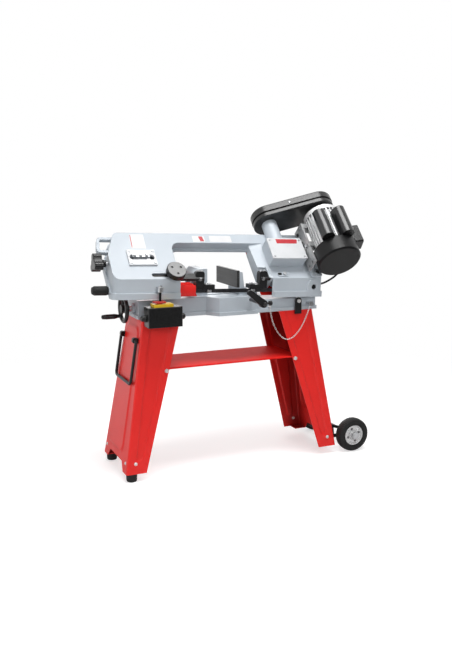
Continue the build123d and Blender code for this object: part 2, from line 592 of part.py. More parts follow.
right_pan = rounded(
    prism_x(pan_section, (TAIL_LEFT, PAN_RIGHT)),
    ((PAN_RIGHT, *skirt_mid), 6), ((PAN_RIGHT, BACK_EDGE, back_level), 28), ((TAIL_LEFT, *skirt_mid), 5),
)
right_rim = prism_x(rim_section, (TAIL_LEFT + 4, PAN_RIGHT))
inner_right = PAN_RIGHT - WALL
right_cavity = rounded(
    prism_x(cavity_section, (TAIL_LEFT - 1, inner_right)),
    ((inner_right, *cavity_mid), 3), ((inner_right, BACK_EDGE - WALL, cavity_level), 22),
)

# Arm between beam and right pan: its top slopes down to the throat, and its wall stops above the covers
arm_far = TAIL_LEFT + 6
arm_front = [(arm_far, FRONT_EDGE), (TAIL_LEFT, FRONT_EDGE), (124, -62)]
arm_back = [(THROAT_RIGHT - 22, BACK_EDGE), (arm_far, BACK_EDGE)]
arm_throat = [(THROAT_RIGHT + 6, -40), (THROAT_RIGHT, BEAM_EDGE), (THROAT_RIGHT - 22, BEAM_EDGE)]
arm_plan = arm_back + arm_front + arm_throat
low_plan = [(LOW_WALL_X, BACK_EDGE), arm_back[1]] + arm_front + [(LOW_WALL_X, -58)]
slope_end = TAIL_LEFT + 6
slope_start, above = THROAT_RIGHT - 30, TOP_FACE + 9
slope = [(slope_start, ARM_EDGE - 5), (slope_end, TOP_FACE), (slope_end, above), (slope_start, above)]
arm_solid = prism_z(arm_plan, (ARM_LOW, TOP_FACE)) - prism_y(slope, (FRONT_EDGE - 9, BEAM_EDGE))
arm_solid += prism_z(low_plan, (COVER_FACE, ARM_LOW + 1))
inner_back, inner_front = BACK_EDGE - WALL, FRONT_EDGE + WALL + 1
arm_ceiling = ARM_EDGE - WALL
hollow_far = TAIL_LEFT + 9
hollow_front = [(hollow_far, inner_front), (TAIL_LEFT, inner_front), (127, -55)]
arm_hollow = [(THROAT_RIGHT - 30, inner_back), (hollow_far, inner_back)] + hollow_front + [
    (THROAT_RIGHT + 12, -35), (THROAT_RIGHT + 6, BEAM_EDGE + WALL), (THROAT_RIGHT - 30, BEAM_EDGE + WALL),
]
low_wall = LOW_WALL_X + WALL
low_hollow = [(low_wall, inner_back), (hollow_far, inner_back)] + hollow_front[:2]
low_hollow += [(low_wall + 4, -55), (low_wall, -50)]
arm_cavity = prism_z(arm_hollow, (ARM_LOW - 1, arm_ceiling)) + prism_z(low_hollow, (under, arm_ceiling))
arm_cavity += block((LOW_WALL_X - 1, low_wall + 1), beam_room, (under, ARM_LOW))
LIP_LOW, LIP_HIGH, LIP_OUT = 12.0, 20.0, 9.0
beam_section = [
    (BACK_EDGE, TOP_FACE), (BEAM_EDGE, TOP_FACE), (BEAM_EDGE, LIP_HIGH), (BEAM_EDGE - LIP_OUT, LIP_HIGH),
    (BEAM_EDGE - LIP_OUT, LIP_LOW), (BEAM_EDGE + WALL, LIP_LOW), (BEAM_EDGE + WALL, ceiling),
    (BACK_EDGE - WALL, ceiling), (BACK_EDGE - WALL, COVER_FACE), (BACK_EDGE, COVER_FACE),
]
beam = prism_x(beam_section, (THROAT_LEFT - WALL, LOW_WALL_X + 2))


def corner_fill(reach, z):
    """Hollow round corner between the left pan and the beam, standing out to a reach from their walls."""
    x, y = THROAT_LEFT, BEAM_EDGE
    centre = Vector(x + THROAT_CORNER, y - THROAT_CORNER)
    radius = THROAT_CORNER - reach
    arc = ThreePointArc(
        centre + Vector(0, radius), centre + Vector(-radius, radius) / ROOT2, centre + Vector(-radius, 0)
    )
    sides = Polyline(arc @ 1, (x, y - THROAT_CORNER), (x, y), (x + THROAT_CORNER, y), arc @ 0)
    return Pos(0, 0, z[0]) * extrude(make_face(arc + sides), z[1] - z[0])


corner = corner_fill(0.001, (LIP_LOW, TOP_FACE)) + corner_fill(LIP_OUT, (LIP_LOW, LIP_HIGH))

gearbox = block(GEARBOX_X, GEARBOX_Y, (TOP_FACE - 1, GEARBOX_TOP))
gearbox = fillet(gearbox.edges().filter_by(Axis.Z), 3)
tube = rod((WORM_X, GEARBOX_Y[1] - 12, GEAR_LEVEL), (WORM_X, TUBE_END, GEAR_LEVEL), 27)
gear_x, gear_y = [(low + 7, high - 7) for low, high in (GEARBOX_X, GEARBOX_Y)]
gear_room = block(gear_x, gear_y, (TOP_FACE, GEARBOX_TOP + 1))
shaft_boss = rod((DRIVE_X, 0, ceiling), (DRIVE_X, 0, 20), 20)

# Cast loop in the corner that the leaning wall leaves free, and the lug on the right front corner
loop_bar, loop_z = 10.0, (24.0, 38.0)
loop_outline = make_face(Polyline((-365, 102), (-425, 102), (-437, 38), (-380, 38), close=True))
loop_outline = fillet(loop_outline.vertices().sort_by(Axis.X)[:2], 15)
loop = Pos(0, 0, loop_z[0]) * extrude(loop_outline - offset(loop_outline, -loop_bar), loop_z[1] - loop_z[0])
lug_top = TOP_FACE + 8
corner_lug = block((300, PAN_RIGHT), (FRONT_EDGE + 2, FRONT_EDGE + 34), (TOP_FACE - 2, lug_top))
corner_lug = fillet(corner_lug.edges().filter_by(Axis.Z), 6)
pad = Pos(GUIDE_BOLT_X - 4, GUIDE_Y, TOP_FACE) * extrude(SlotOverall(46, 18), 3)

outer = left_pan + left_rim + beam + corner + arm_solid + right_pan + right_rim + gearbox + tube
outer += loop + pad + corner_lug
room = left_cavity + right_cavity + arm_cavity
bow_frame = outer - room + shaft_boss
bow_frame -= gear_room
bow_frame -= rod((DRIVE_X, 0, 15), (DRIVE_X, 0, GEARBOX_TOP), 10 + RUNNING_FIT)
worm_ends = (WORM_X, GEARBOX_Y[0] + 3, GEAR_LEVEL), (WORM_X, TUBE_END + 1, GEAR_LEVEL)
bow_frame -= rod(*worm_ends, WORM_SHAFT + RUNNING_FIT)
bow_frame -= rod((PAN_LEFT - 9, 0, 28), (PAN_LEFT + 15, 0, 28), 6 + RUNNING_FIT)
bow_frame -= Pos(IDLER_X + 2, TENSION_Y, ceiling - 1) * extrude(SlotOverall(92, 20), WALL + 2)
bow_frame -= Pos((GUIDE_KNOB_X - 275) / 2 + 5, GUIDE_Y, ceiling - 1) * extrude(SlotOverall(88, 15), WALL + 2)
bow_frame -= rod((GUIDE_BOLT_X, GUIDE_Y, ceiling - 1), (GUIDE_BOLT_X, GUIDE_Y, TOP_FACE + 5), 4)
bar_y = (GUIDE_Y - GUIDE_HALF_WIDTH - 1.5, GUIDE_Y + GUIDE_HALF_WIDTH + 1.5)
bow_frame -= block((THROAT_RIGHT, 174), bar_y, (GUIDE_BAR_LOW - 1, ceiling))
bow_frame = LEVEL * bow_frame
column_x = (RIGHT_GUIDE_X - GUIDE_COLUMN - 5, RIGHT_GUIDE_X + GUIDE_COLUMN + 5)
post_room = block(column_x, (BLADE_Y - 22, BLADE_Y + 17), (BLADE_Z - 20, BLADE_Z + 75))
bow_frame -= post_room
bow_frame -= block((296, PAN_RIGHT + 9), (-83.5, 20), (540, PIVOT_Z + 20))

FRONT_LUG = (-100.0, -84.0)
REAR_LUG = (86.0, 106.0)
pad_radius = 26.0
front_pad = block((PIVOT_X - pad_radius, PIVOT_X + pad_radius), FRONT_LUG, (564, PIVOT_Z))
front_pad += rod((PIVOT_X, FRONT_LUG[0], PIVOT_Z), (PIVOT_X, FRONT_LUG[1], PIVOT_Z), pad_radius)
rear_arm = [(286, PIVOT_Z), (326, PIVOT_Z), (PAN_RIGHT - 30, 742), (262, 742)]
rear_lug = prism_y(rear_arm, REAR_LUG)
rear_lug += rod((PIVOT_X, REAR_LUG[0], PIVOT_Z), (PIVOT_X, REAR_LUG[1], PIVOT_Z), 20)
bow_frame += front_pad + (rear_lug - LEVEL * right_cavity)
bow_frame -= rod((PIVOT_X, -101, PIVOT_Z), (PIVOT_X, -83, PIVOT_Z), PIVOT_PIN + RUNNING_FIT)
bow_frame -= rod((PIVOT_X, 85, PIVOT_Z), (PIVOT_X, 107, PIVOT_Z), PIVOT_PIN + RUNNING_FIT)
nodes["bow_frame"] = TILT * bow_frame

# Screw that trips the switch as the bow comes down, in its eye on the skirt
skirt_y = AXIS_Y + (FRONT_EDGE - TOP_FACE) / ROOT2
trip_x, trip_y, trip_top = -257.0, -112.0, 604.0
trip_eye = block((trip_x - 9, trip_x + 9), (trip_y - 9, skirt_y), (588, trip_top))
trip_eye = fillet(trip_eye.edges().filter_by(Axis.Z).sort_by(Axis.Y)[:2], 8)
trip_eye += rod((trip_x, trip_y, 560.5), (trip_x, trip_y, 590), 4)
trip_screw = TILT * (trip_eye + hex_bolt((trip_x, trip_y, trip_top), (0, 0, 1), 7))

# Red sheet covers under the two pans, each with a tab beside the blade
cover_low = COVER_FACE - SHEET
idler_plan = [
    (PAN_LEFT + 12, HEM[0] + 4), (-110, -96), (-110, -46), (-122, -38), (THROAT_LEFT, -38),
    (THROAT_LEFT, BACK_EDGE - 6), (PAN_LEFT + 12, BACK_EDGE - 6),
]
idler_cover = BOW * prism_z(idler_plan, (cover_low, COVER_FACE))
drive_plan = [
    (LOW_WALL_X + 4, -46), (LOW_WALL_X + 4, -96), (262, -96), (280, -68), (PAN_RIGHT - 8, -68),
    (PAN_RIGHT - 8, 100), (256, 100), (256, BACK_EDGE - 4), (LOW_WALL_X + 2, BACK_EDGE - 4),
]
drive_cover = LEVEL * prism_z(drive_plan, (cover_low, COVER_FACE))
drive_cover -= block((296, PAN_RIGHT + 9), (-83.5, 20), (540, PIVOT_Z + 20))
nodes["band_covers"] = group([idler_cover, TILT * drive_cover])

# Blade tension: plate, sliding block with the idler shaft, screw and lobed knob
plate_size = (94.0, 62.0)
plate_thick = 6.0
plate_face = Pos(TENSION_PLATE_X, TENSION_Y) * Rectangle(*plate_size)
plate_face -= Pos(IDLER_X + 2, TENSION_Y) * SlotOverall(84, 20)
nodes["tension_plate"] = BOW * Pos(0, 0, TOP_FACE) * extrude(plate_face, plate_thick)
slide_low = 15.0
plate_top = TOP_FACE + plate_thick
stem_y, cap_y = (TENSION_Y - 1, TENSION_Y + 9.5), (TENSION_Y - 1, TENSION_Y + 15)
slider = block((IDLER_X - 34, IDLER_X + 34), (-22, 22), (slide_low, ceiling - 0.3))
slider += block((IDLER_X - 26, IDLER_X + 20), stem_y, (ceiling - 1, plate_top + 0.3))
slider += block((IDLER_X - 30, IDLER_X + 26), cap_y, (plate_top + 0.3, plate_top + 4))
slider -= rod((IDLER_X - 40, 0, 28), (IDLER_X + 20, 0, 28), 6 + RUNNING_FIT)
for x in (IDLER_X - 22, IDLER_X - 2, IDLER_X + 18):
    slider += hex_bolt((x, TENSION_Y + 7, plate_top + 3), (0, 0, 1), 7, 6)
slider += rod((IDLER_X, 0, -16), (IDLER_X, 0, slide_low + 1), 8)
slider += rod((IDLER_X, 0, -18), (IDLER_X, 0, -14.5), 13)
nodes["tension_block"] = BOW * slider
nodes["tension_screw"] = BOW * rod((PAN_LEFT - 42, 0, 28), (IDLER_X + 8, 0, 28), 6)
knob_plane = Plane(origin=(PAN_LEFT - 22, 0, 28), x_dir=(0, 1, 0), z_dir=(-1, 0, 0))
knob_core, lobe_reach, lobe_radius, knob_thick = 20.0, 20.0, 13.0, 28.0
lobes = Circle(knob_core)
for index in range(3):
    lobes += Rot(0, 0, 90 + 120 * index) * (Pos(lobe_reach, 0) * Circle(lobe_radius))
lobes = fillet(lobes.vertices(), 5)
knob = extrude(lobes, knob_thick)
knob = fillet(knob.edges().group_by(Axis.Z)[-1], 3)
stem = turned([(0, -14), (11, -14), (12, -6), (17, 1), (0, 1)], (0, 0, 0), (0, 0, 1))
knob = knob_plane * (knob + stem)
nodes["tension_knob"] = BOW * (knob - rod((PAN_LEFT - 44, 0, 28), (PAN_LEFT, 0, 28), 6))


# Band wheels: flanged rims on pierced webs
def band_wheel(x, bore):
    rim_radius, half = WHEEL_RADIUS - 0.3, 10.0
    outline = [
        (bore, -14), (22, -14), (22, -4), (80, -4), (80, -half), (rim_radius + 2.5, -half),
        (rim_radius + 2.5, -7.2), (rim_radius, -7.2), (rim_radius, half), (80, half), (80, 4), (22, 4),
        (22, 13), (bore, 13),
    ]
    wheel = turned(outline, (x, 0, 0), (0, 0, 1))
    for index in range(5):
        wheel -= Pos(x, 0, 0) * Rot(0, 0, 72 * index) * Pos(51, 0, 0) * Cylinder(17, 12)
    return wheel


nodes["idler_wheel"] = BOW * band_wheel(IDLER_X, 8 + RUNNING_FIT)
nodes["drive_wheel"] = BOW * band_wheel(DRIVE_X, 10)


# Blade: a thin band round both wheels, turned upright between the guides
def band_section(x, turn):
    upright = Plane(origin=(x, -WHEEL_RADIUS, 0), x_dir=(0, 1, 0), z_dir=(1, 0, 0))
    strip = upright * Rectangle(BLADE_THICK, BLADE_WIDTH)
    return Pos(0, -WHEEL_RADIUS, 0) * Rot(-turn, 0, 0) * Pos(0, WHEEL_RADIUS, 0) * strip


def band_twist(start, end, first, last, steps=4):
    sections = []
    for index in range(steps + 1):
        part = index / steps
        sections.append(band_section(start + (end - start) * part, first + (last - first) * part))
    return loft(sections, ruled=True)


half_band, mid = BLADE_WIDTH / 2, WHEEL_RADIUS + BLADE_THICK / 2
ring = Cylinder(mid + BLADE_THICK / 2, BLADE_WIDTH) - Cylinder(mid - BLADE_THICK / 2, BLADE_WIDTH)
left_turn = Pos(IDLER_X, 0, 0) * (ring & block((-200, 0), (-200, 200), (-20, 20)))
right_turn = Pos(DRIVE_X, 0, 0) * (ring & block((0, 200), (-200, 200), (-20, 20)))
back_run = block((IDLER_X, DRIVE_X), (WHEEL_RADIUS, WHEEL_RADIUS + BLADE_THICK), (-half_band, half_band))
flat = 25.0
front_run = band_twist(IDLER_X, IDLER_X + flat, 0, 0, 1) + band_twist(IDLER_X + flat, TWIST_LEFT, 0, SLOPE)
front_run += band_twist(TWIST_LEFT, TWIST_RIGHT, SLOPE, SLOPE, 1)
front_run += band_twist(TWIST_RIGHT, DRIVE_X - flat, SLOPE, 0) + band_twist(DRIVE_X - flat, DRIVE_X, 0, 0, 1)
front_run = Pos(0, -BLADE_THICK / 2, 0) * front_run
nodes["blade"] = BOW * (left_turn + right_turn + back_run + front_run)

# Blade guides: a sliding bar with its clamp knob, a fixed bar, posts and rollers
guide_bar_y = (GUIDE_Y - GUIDE_HALF_WIDTH, GUIDE_Y + GUIDE_HALF_WIDTH)
bar_z = (GUIDE_BAR_LOW, GUIDE_BAR_HIGH)
side_offset = BLADE_THICK / 2 + ROLLER_GAP + ROLLER_RADIUS
ROLLER_X = {"left": LEFT_GUIDE_X + ROLLER_REACH, "right": RIGHT_GUIDE_X - ROLLER_REACH}


def guide_post(x, roller_x):
    """Column at the end of a guide bar, with a block beside it that holds the rollers over the blade."""
    side = math.copysign(1, roller_x - x)
    low = BLADE_Z + 8
    post = block((x - GUIDE_COLUMN, x + GUIDE_COLUMN), (BLADE_Y - 14, BLADE_Y + 9), (low, BLADE_Z + 65))
    post = fillet(post.edges().filter_by(Axis.Y).group_by(Axis.Z)[-1], 8)
    span = sorted((x + side * (GUIDE_COLUMN - 1), roller_x + side * 16))
    post += block(span, (BLADE_Y - 17, BLADE_Y + 17), (low, BLADE_Z + 22))
    pad_x = sorted((roller_x - side * 20, roller_x - side * 12))
    post += block(pad_x, (BLADE_Y - 4, BLADE_Y + 4), (BLADE_Z + BLADE_WIDTH / 2 + ROLLER_GAP, low + 1))
    for place in (-1, 1):
        pin_y = BLADE_Y + place * side_offset
        post += rod((roller_x, pin_y, BLADE_Z - 4), (roller_x, pin_y, low + 1), 3)
    return post


for name, roller_x in ROLLER_X.items():
    for place, side in (("front", -1), ("rear", 1)):
        centre = (roller_x, BLADE_Y + side * side_offset, BLADE_Z - 2.5)
        ring_outline = [(3 + RUNNING_FIT, 0), (ROLLER_RADIUS, 0), (ROLLER_RADIUS, 7), (3 + RUNNING_FIT, 7)]
        nodes[f"{name}_{place}_roller"] = TILT * turned(ring_outline, centre, (0, 0, 1))
left_bar = LEVEL * block((-296, LEFT_GUIDE_X + 10), guide_bar_y, bar_z)
nodes["left_guide"] = TILT * (left_bar + guide_post(LEFT_GUIDE_X, ROLLER_X["left"]))
right_bar = LEVEL * block((RIGHT_GUIDE_X - 10, 216), guide_bar_y, bar_z)
nodes["right_guide"] = TILT * (right_bar + guide_post(RIGHT_GUIDE_X, ROLLER_X["right"]))
guide_bolt = BOW * (
    rod((GUIDE_BOLT_X, GUIDE_Y, GUIDE_BAR_HIGH), (GUIDE_BOLT_X, GUIDE_Y, TOP_FACE + 3), 4)
    + hex_bolt((GUIDE_BOLT_X, GUIDE_Y, TOP_FACE + 3), (0, 0, 1), 7)
)
knob_outline = [(0, 0), (6, 0), (6, 10.5), (16, 10.5), (16, 15), (32, 17), (32, 34), (30, 36), (0, 36)]
guide_knob = turned(knob_outline, (GUIDE_KNOB_X, GUIDE_Y, GUIDE_BAR_HIGH), (0, 0, 1))
for index in range(3):
    place = Pos(GUIDE_KNOB_X, GUIDE_Y, GUIDE_BAR_HIGH + 34) * Rot(0, 0, 30 + 120 * index) * Pos(17, 0, 0)
    guide_knob -= place * Cylinder(4, 6)
nodes["guide_knob"] = BOW * guide_knob

# Lift grip on the left wall of the bow
grip_y, grip_z = -74.0, -16.0
grip_start = (PAN_LEFT - RIM_OUT, grip_y, grip_z)
grip = turned([(0, 0), (13, 0), (15, 6), (15, 44), (11, 52), (0, 54)], grip_start, (-1, 0, 0))
nodes["lift_grip"] = BOW * grip

# Worm drive in its box, closed by a screwed cover
drive_shaft = rod((DRIVE_X, 0, -16), (DRIVE_X, 0, 72), 10)
gear_outline = Circle(GEAR_RADIUS - 2.5)
tooth = Polyline((-2, 0), (2, 0), (1, 4.5), (-1, 4.5), close=True)
tooth = Pos(0, GEAR_RADIUS - 4.5) * make_face(tooth)
for index in range(GEAR_TEETH):
    gear_outline += Rot(0, 0, 360 * index / GEAR_TEETH) * tooth
nodes["drive_shaft"] = BOW * (drive_shaft + Pos(DRIVE_X, 0, GEAR_LEVEL - 6) * extrude(gear_outline, 12))
worm = rod((WORM_X, GEARBOX_Y[0] + 3.5, GEAR_LEVEL), (WORM_X, PULLEY_START + 37, GEAR_LEVEL), WORM_SHAFT)
thread = [(6, -20), (8, -20)]
for index in range(7):
    start = -18 + index * 5.5
    thread += [(8, start), (WORM_RADIUS, start + 1), (WORM_RADIUS, start + 2.5), (8, start + 3.5)]
thread += [(8, 20.5), (6, 20.5)]
worm += turned(thread, (WORM_X, 6, GEAR_LEVEL), (0, 1, 0))
nodes["worm_shaft"] = BOW * worm
cover_plate = block(GEARBOX_X, GEARBOX_Y, (GEARBOX_TOP, GEARBOX_TOP + 2.5))
nodes["gearbox_cover"] = BOW * fillet(cover_plate.edges().filter_by(Axis.Z), 2)
screw_x, screw_y = [(low + 9, high - 9) for low, high in (GEARBOX_X, GEARBOX_Y)]
screw_places = [(x, y) for x in screw_x for y in screw_y]
screw_head = [(0, 0), (4, 0), (4, 1), (2.5, 2.4), (0, 2.4)]
cover_screws = [BOW * turned(screw_head, (x, y, GEARBOX_TOP + 2.5), (0, 0, 1)) for x, y in screw_places]
plate_places = [(TENSION_PLATE_X + x, TENSION_Y + y) for x in (-40, 40) for y in (-24, 24)]
plate_screws = [BOW * turned(screw_head, (x, y, plate_top), (0, 0, 1)) for x, y in plate_places]
lug_bolt = BOW * hex_bolt((320, FRONT_EDGE + 16, lug_top), (0, 0, 1), 8, 5)


# Step pulleys, belt and the two shells of the guard
def step_pulley(x, z, radii, bore):
    outline = [(bore, PULLEY_START)]
    for index, radius in enumerate(radii):
        start = PULLEY_START + index * STEP_WIDTH
        outline += [(radius, start), (radius, start + 1.5), (radius - 7, start + 4)]
        outline += [(radius - 7, start + 8), (radius, start + 10.5), (radius, start + STEP_WIDTH)]
    outline += [(bore, PULLEY_START + 3 * STEP_WIDTH)]
    return turned(outline, (x, 0, z), (0, 1, 0))


nodes["worm_pulley"] = BOW * step_pulley(WORM_X, GEAR_LEVEL, PULLEY_STEPS, WORM_SHAFT)
motor_shaft = rod((MOTOR_X, 101, MOTOR_Z), (MOTOR_X, PULLEY_START + 36, MOTOR_Z), 7)
nodes["motor_pulley"] = BOW * (motor_shaft + step_pulley(MOTOR_X, MOTOR_Z, PULLEY_STEPS[::-1], 6))
centres = (WORM_X, GEAR_LEVEL), (MOTOR_X, MOTOR_Z)
reach = math.dist(*centres)
lean = math.degrees(math.atan2(MOTOR_Z - GEAR_LEVEL, MOTOR_X - WORM_X))
guard_place = Pos((WORM_X + MOTOR_X) / 2, 0, (GEAR_LEVEL + MOTOR_Z) / 2) * Rot(90, 0, 0) * Rot(0, 0, lean)


def obround(radius, y):
    """Long round-ended solid over both pulleys between two places along the shafts."""
    face = SlotOverall(reach + 2 * radius, 2 * radius)
    return guard_place * (Pos(0, 0, -y[1]) * extrude(face, y[1] - y[0]))


belt_mid = PULLEY_START + 1.5 * STEP_WIDTH
belt_root, belt_out = PULLEY_STEPS[1] - 6.3, PULLEY_STEPS[1] - 0.3
belt_path = guard_place * (Pos(0, 0, -belt_mid) * SlotOverall(reach + 2 * belt_root, 2 * belt_root)).wire()
belt_height = belt_out - belt_root
belt_face = make_face(Polyline((-2, 0), (2, 0), (4.1, belt_height), (-4.1, belt_height), close=True))
belt_seat = guard_place * Pos(0, belt_root, -belt_mid) * Rot(0, 90, 0)
nodes["drive_belt"] = BOW * sweep(belt_seat * belt_face, belt_path)
guard_wall = 2.5
guard_base = obround(GUARD_RADIUS, (TUBE_END, GUARD_SEAM))
guard_base -= obround(GUARD_RADIUS - guard_wall, (TUBE_END + guard_wall, GUARD_SEAM + 1))
guard_base -= rod((WORM_X, TUBE_END - 1, GEAR_LEVEL), (WORM_X, TUBE_END + 4, GEAR_LEVEL), 12)
guard_base -= rod((MOTOR_X, TUBE_END - 1, MOTOR_Z), (MOTOR_X, TUBE_END + 4, MOTOR_Z), 14)
nodes["guard_base"] = BOW * guard_base
guard_cover = obround(GUARD_RADIUS + 1.5, (GUARD_SEAM, GUARD_END))
guard_cover = fillet(guard_cover.edges().group_by(Axis.Y)[-1], 5)
guard_cover -= obround(GUARD_RADIUS - guard_wall, (GUARD_SEAM - 1, GUARD_END - guard_wall - 1))
nodes["guard_cover"] = BOW * guard_cover

# Motor: finned body, fan cowl, drive end, covers for two capacitors and the terminals
motor_axis = (0, 1, 0)
fin_count, fin_depth = 28, 7.0
body_start, body_end = -26.0, 112.0
fins = Circle(MOTOR_RADIUS - fin_depth)
for index in range(fin_count):
    fin = Pos(MOTOR_RADIUS - fin_depth / 2 - 1, 0) * Rectangle(fin_depth + 2, 3.2)
    fins += Rot(0, 0, 360 * index / fin_count) * fin
motor_place = Pos(MOTOR_X, 0, MOTOR_Z) * Rot(90, 0, 0)
motor_body = motor_place * (Pos(0, 0, -body_end) * extrude(fins, body_end - body_start))
bell = [(0, body_end), (MOTOR_RADIUS, body_end), (MOTOR_RADIUS, 126)]
bell += [(40, MOTOR_DRIVE_END), (0, MOTOR_DRIVE_END)]
motor_body += turned(bell, (MOTOR_X, 0, MOTOR_Z), motor_axis)
motor_body -= rod((MOTOR_X, 100, MOTOR_Z), (MOTOR_X, MOTOR_DRIVE_END + 1, MOTOR_Z), 7 + RUNNING_FIT)
nodes["motor_body"] = BOW * motor_body
cowl = [(0, MOTOR_FAN_END), (COWL_RADIUS - 5, MOTOR_FAN_END), (COWL_RADIUS, MOTOR_FAN_END + 5)]
cowl += [(COWL_RADIUS, body_start), (0, body_start)]
nodes["fan_cowl"] = BOW * turned(cowl, (MOTOR_X, 0, MOTOR_Z), motor_axis)


def on_motor(angle, shape):
    """Place a piece built above the motor's crown at an angle round its axis."""
    return Pos(MOTOR_X, 0, MOTOR_Z) * Rot(0, 90 - angle, 0) * shape


def capacitor(angle, y):
    half, height = 22.0, 40.0
    seat = MOTOR_RADIUS - 1.0
    cover = block((-half, half), y, (seat, seat + height - half))
    cover += rod((0, y[0], seat + height - half), (0, y[1], seat + height - half), half)
    return on_motor(angle, cover)


capacitor_y = (-24.0, 86.0)
start_capacitor = BOW * (capacitor(130, capacitor_y) - motor_body)
run_capacitor = BOW * (capacitor(77, capacitor_y) - motor_body)
box_angle, box_half, box_out = 12.0, 24.0, 104.0
terminal_box = block((-box_half, box_half), (-24, 50), (MOTOR_RADIUS - 6, box_out))
terminal_box = fillet(terminal_box.edges().filter_by(Axis.Z), 5)
terminal_box = BOW * (on_motor(box_angle, terminal_box) - motor_body)
nodes["motor_covers"] = group([start_capacitor, run_capacitor, terminal_box])

# Motor plate: the tilting seat that hangs on the gearbox wall and sets the belt
plate_x, plate_y, plate_z = (285.0, 291.0), (-66.0, 104.0), (66.0, 122.0)
seat = block(plate_x, plate_y, plate_z)
for y in ((4, 22), (84, 102)):
    seat += block((plate_x[0], MOTOR_X - 40), y, (94, plate_z[1]))
for y in ((-2, 16), (34, 52)):
    seat += block((GEARBOX_X[1], plate_x[1]), y, (70, GEARBOX_TOP - 1))
seat -= rod((MOTOR_X, -10, MOTOR_Z), (MOTOR_X, 130, MOTOR_Z), MOTOR_RADIUS + 0.2)
for z in (80, 104):
    seat -= rod((plate_x[0] - 1, -54, z), (plate_x[1] + 1, -54, z), 4.5)
nodes["motor_plate"] = BOW * seat
motor_bolts = [BOW * hex_bolt((plate_x[0], y, 108), (-1, 0, 0), 7, 5) for y in (13, 93)]
nodes["bow_bolts"] = group(cover_screws + plate_screws + motor_bolts + [guide_bolt, trip_screw, lug_bolt])


# Motor cable, in two lengths that meet on the pivot line so the bow can lift
def on_bow(x, y, z):
    return (BOW * Pos(x, y, z)).position


def level_point(x, y, z):
    return (TILT * Pos(x, y, z)).position


cable_radius = 3.5
cable_meet = (PIVOT_X, 14, PIVOT_Z)
out = math.radians(box_angle)
box_low = [
    MOTOR_X + 80 * math.cos(out) + box_half * math.sin(out),
    MOTOR_Z + 80 * math.sin(out) - box_half * math.cos(out),
]
motor_route = [
    on_bow(box_low[0], 10, box_low[1]), on_bow(box_low[0] + 4.2, 10, box_low[1] - 19.6), on_bow(453.5, 2, 90),
    on_bow(447, -17, 67), on_bow(437.5, -36, 45), level_point(422, -45, 628), level_point(397, -45, 613),
    level_point(371, -43, 601), level_point(343, -39, 597.5), level_point(318, -30, 597),
    Vector(PIVOT_X, -8, PIVOT_Z), Vector(*cable_meet),
]
nodes["motor_cable"] = line_tube(motor_route, cable_radius, "motor cable")
bed_route = [
    cable_meet, (PIVOT_X, 28, PIVOT_Z), (PIVOT_X - 0.5, 42, 588), (304, 49.5, 571), (300, 51, 545),
    (300, 51, BED_BASE + 0.3),
]
nodes["bed_cable"] = line_tube(bed_route, cable_radius, "bed cable")


def whole_box():
    """Lowest and highest corner over all nodes."""
    boxes = [shape.bounding_box() for shape in nodes.values()]
    low = [min(getattr(box.min, axis) for box in boxes) for axis in "XYZ"]
    high = [max(getattr(box.max, axis) for box in boxes) for axis in "XYZ"]
    return low, high


# The origin stands on the floor under the middle of the machine
low, high = whole_box()
centre_x, centre_y = (low[0] + high[0]) / 2, (low[1] + high[1]) / 2
HOME = Pos(-centre_x, -centre_y, -low[2])

os.makedirs("parts", exist_ok=True)
for name, shape in nodes.items():
    export_step(HOME * shape, f"parts/{name}.step")
print("nodes", len(nodes), "centre", round(centre_x, 2), round(centre_y, 2), round(low[2], 3))
print("size", [round(b - a, 1) for a, b in zip(low, high)])
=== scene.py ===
import math

import bmesh
import bpy
import numpy as np
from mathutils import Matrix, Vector


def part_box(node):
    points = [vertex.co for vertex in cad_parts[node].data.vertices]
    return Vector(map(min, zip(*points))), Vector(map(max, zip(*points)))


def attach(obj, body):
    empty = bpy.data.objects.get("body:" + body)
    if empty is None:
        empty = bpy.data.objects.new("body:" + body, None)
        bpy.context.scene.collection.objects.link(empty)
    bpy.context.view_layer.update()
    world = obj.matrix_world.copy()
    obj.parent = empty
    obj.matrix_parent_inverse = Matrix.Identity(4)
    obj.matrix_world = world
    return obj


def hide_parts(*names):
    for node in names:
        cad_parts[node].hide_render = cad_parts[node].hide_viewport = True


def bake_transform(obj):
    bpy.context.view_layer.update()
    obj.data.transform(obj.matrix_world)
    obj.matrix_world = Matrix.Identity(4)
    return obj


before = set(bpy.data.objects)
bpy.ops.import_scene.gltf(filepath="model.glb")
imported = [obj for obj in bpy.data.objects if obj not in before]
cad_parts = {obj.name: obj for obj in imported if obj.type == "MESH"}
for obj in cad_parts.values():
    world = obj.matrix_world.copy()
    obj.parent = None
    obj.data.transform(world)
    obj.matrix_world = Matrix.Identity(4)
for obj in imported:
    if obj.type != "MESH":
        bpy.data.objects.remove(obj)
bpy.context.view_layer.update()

# Stand legs: two channels folded from 2.5 mm steel sheet and powder coated bright red.
# A broad field is pressed out of each end panel and a shallow one into each flange.
# They are bolted under the bed, and painted shade darkens the coat inside the channels.
AXLE_X = 454.0
axle_low, axle_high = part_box("axle")
HOME_SHIFT = np.array([
    (axle_low.x + axle_high.x) / 2 - AXLE_X / 1000.0, (axle_low.y + axle_high.y) / 2, 0.0,
])


def at(points):
    """Machine millimetres to frame metres: divide by 1000 and add the shift of the cart axle."""
    return np.asarray(points, float) / 1000.0 + HOME_SHIFT


def feed(tree, socket, value):
    """Link a socket to another one, or set it to a value."""
    if isinstance(value, bpy.types.NodeSocket):
        tree.links.new(value, socket)
    else:
        socket.default_value = value


def node(tree, kind, **inputs):
    """New shader node whose named inputs, with _ for a space, are fed with sockets or values."""
    made = tree.nodes.new("ShaderNode" + kind)
    for name, value in inputs.items():
        feed(tree, made.inputs[name.replace("_", " ")], value)
    return made


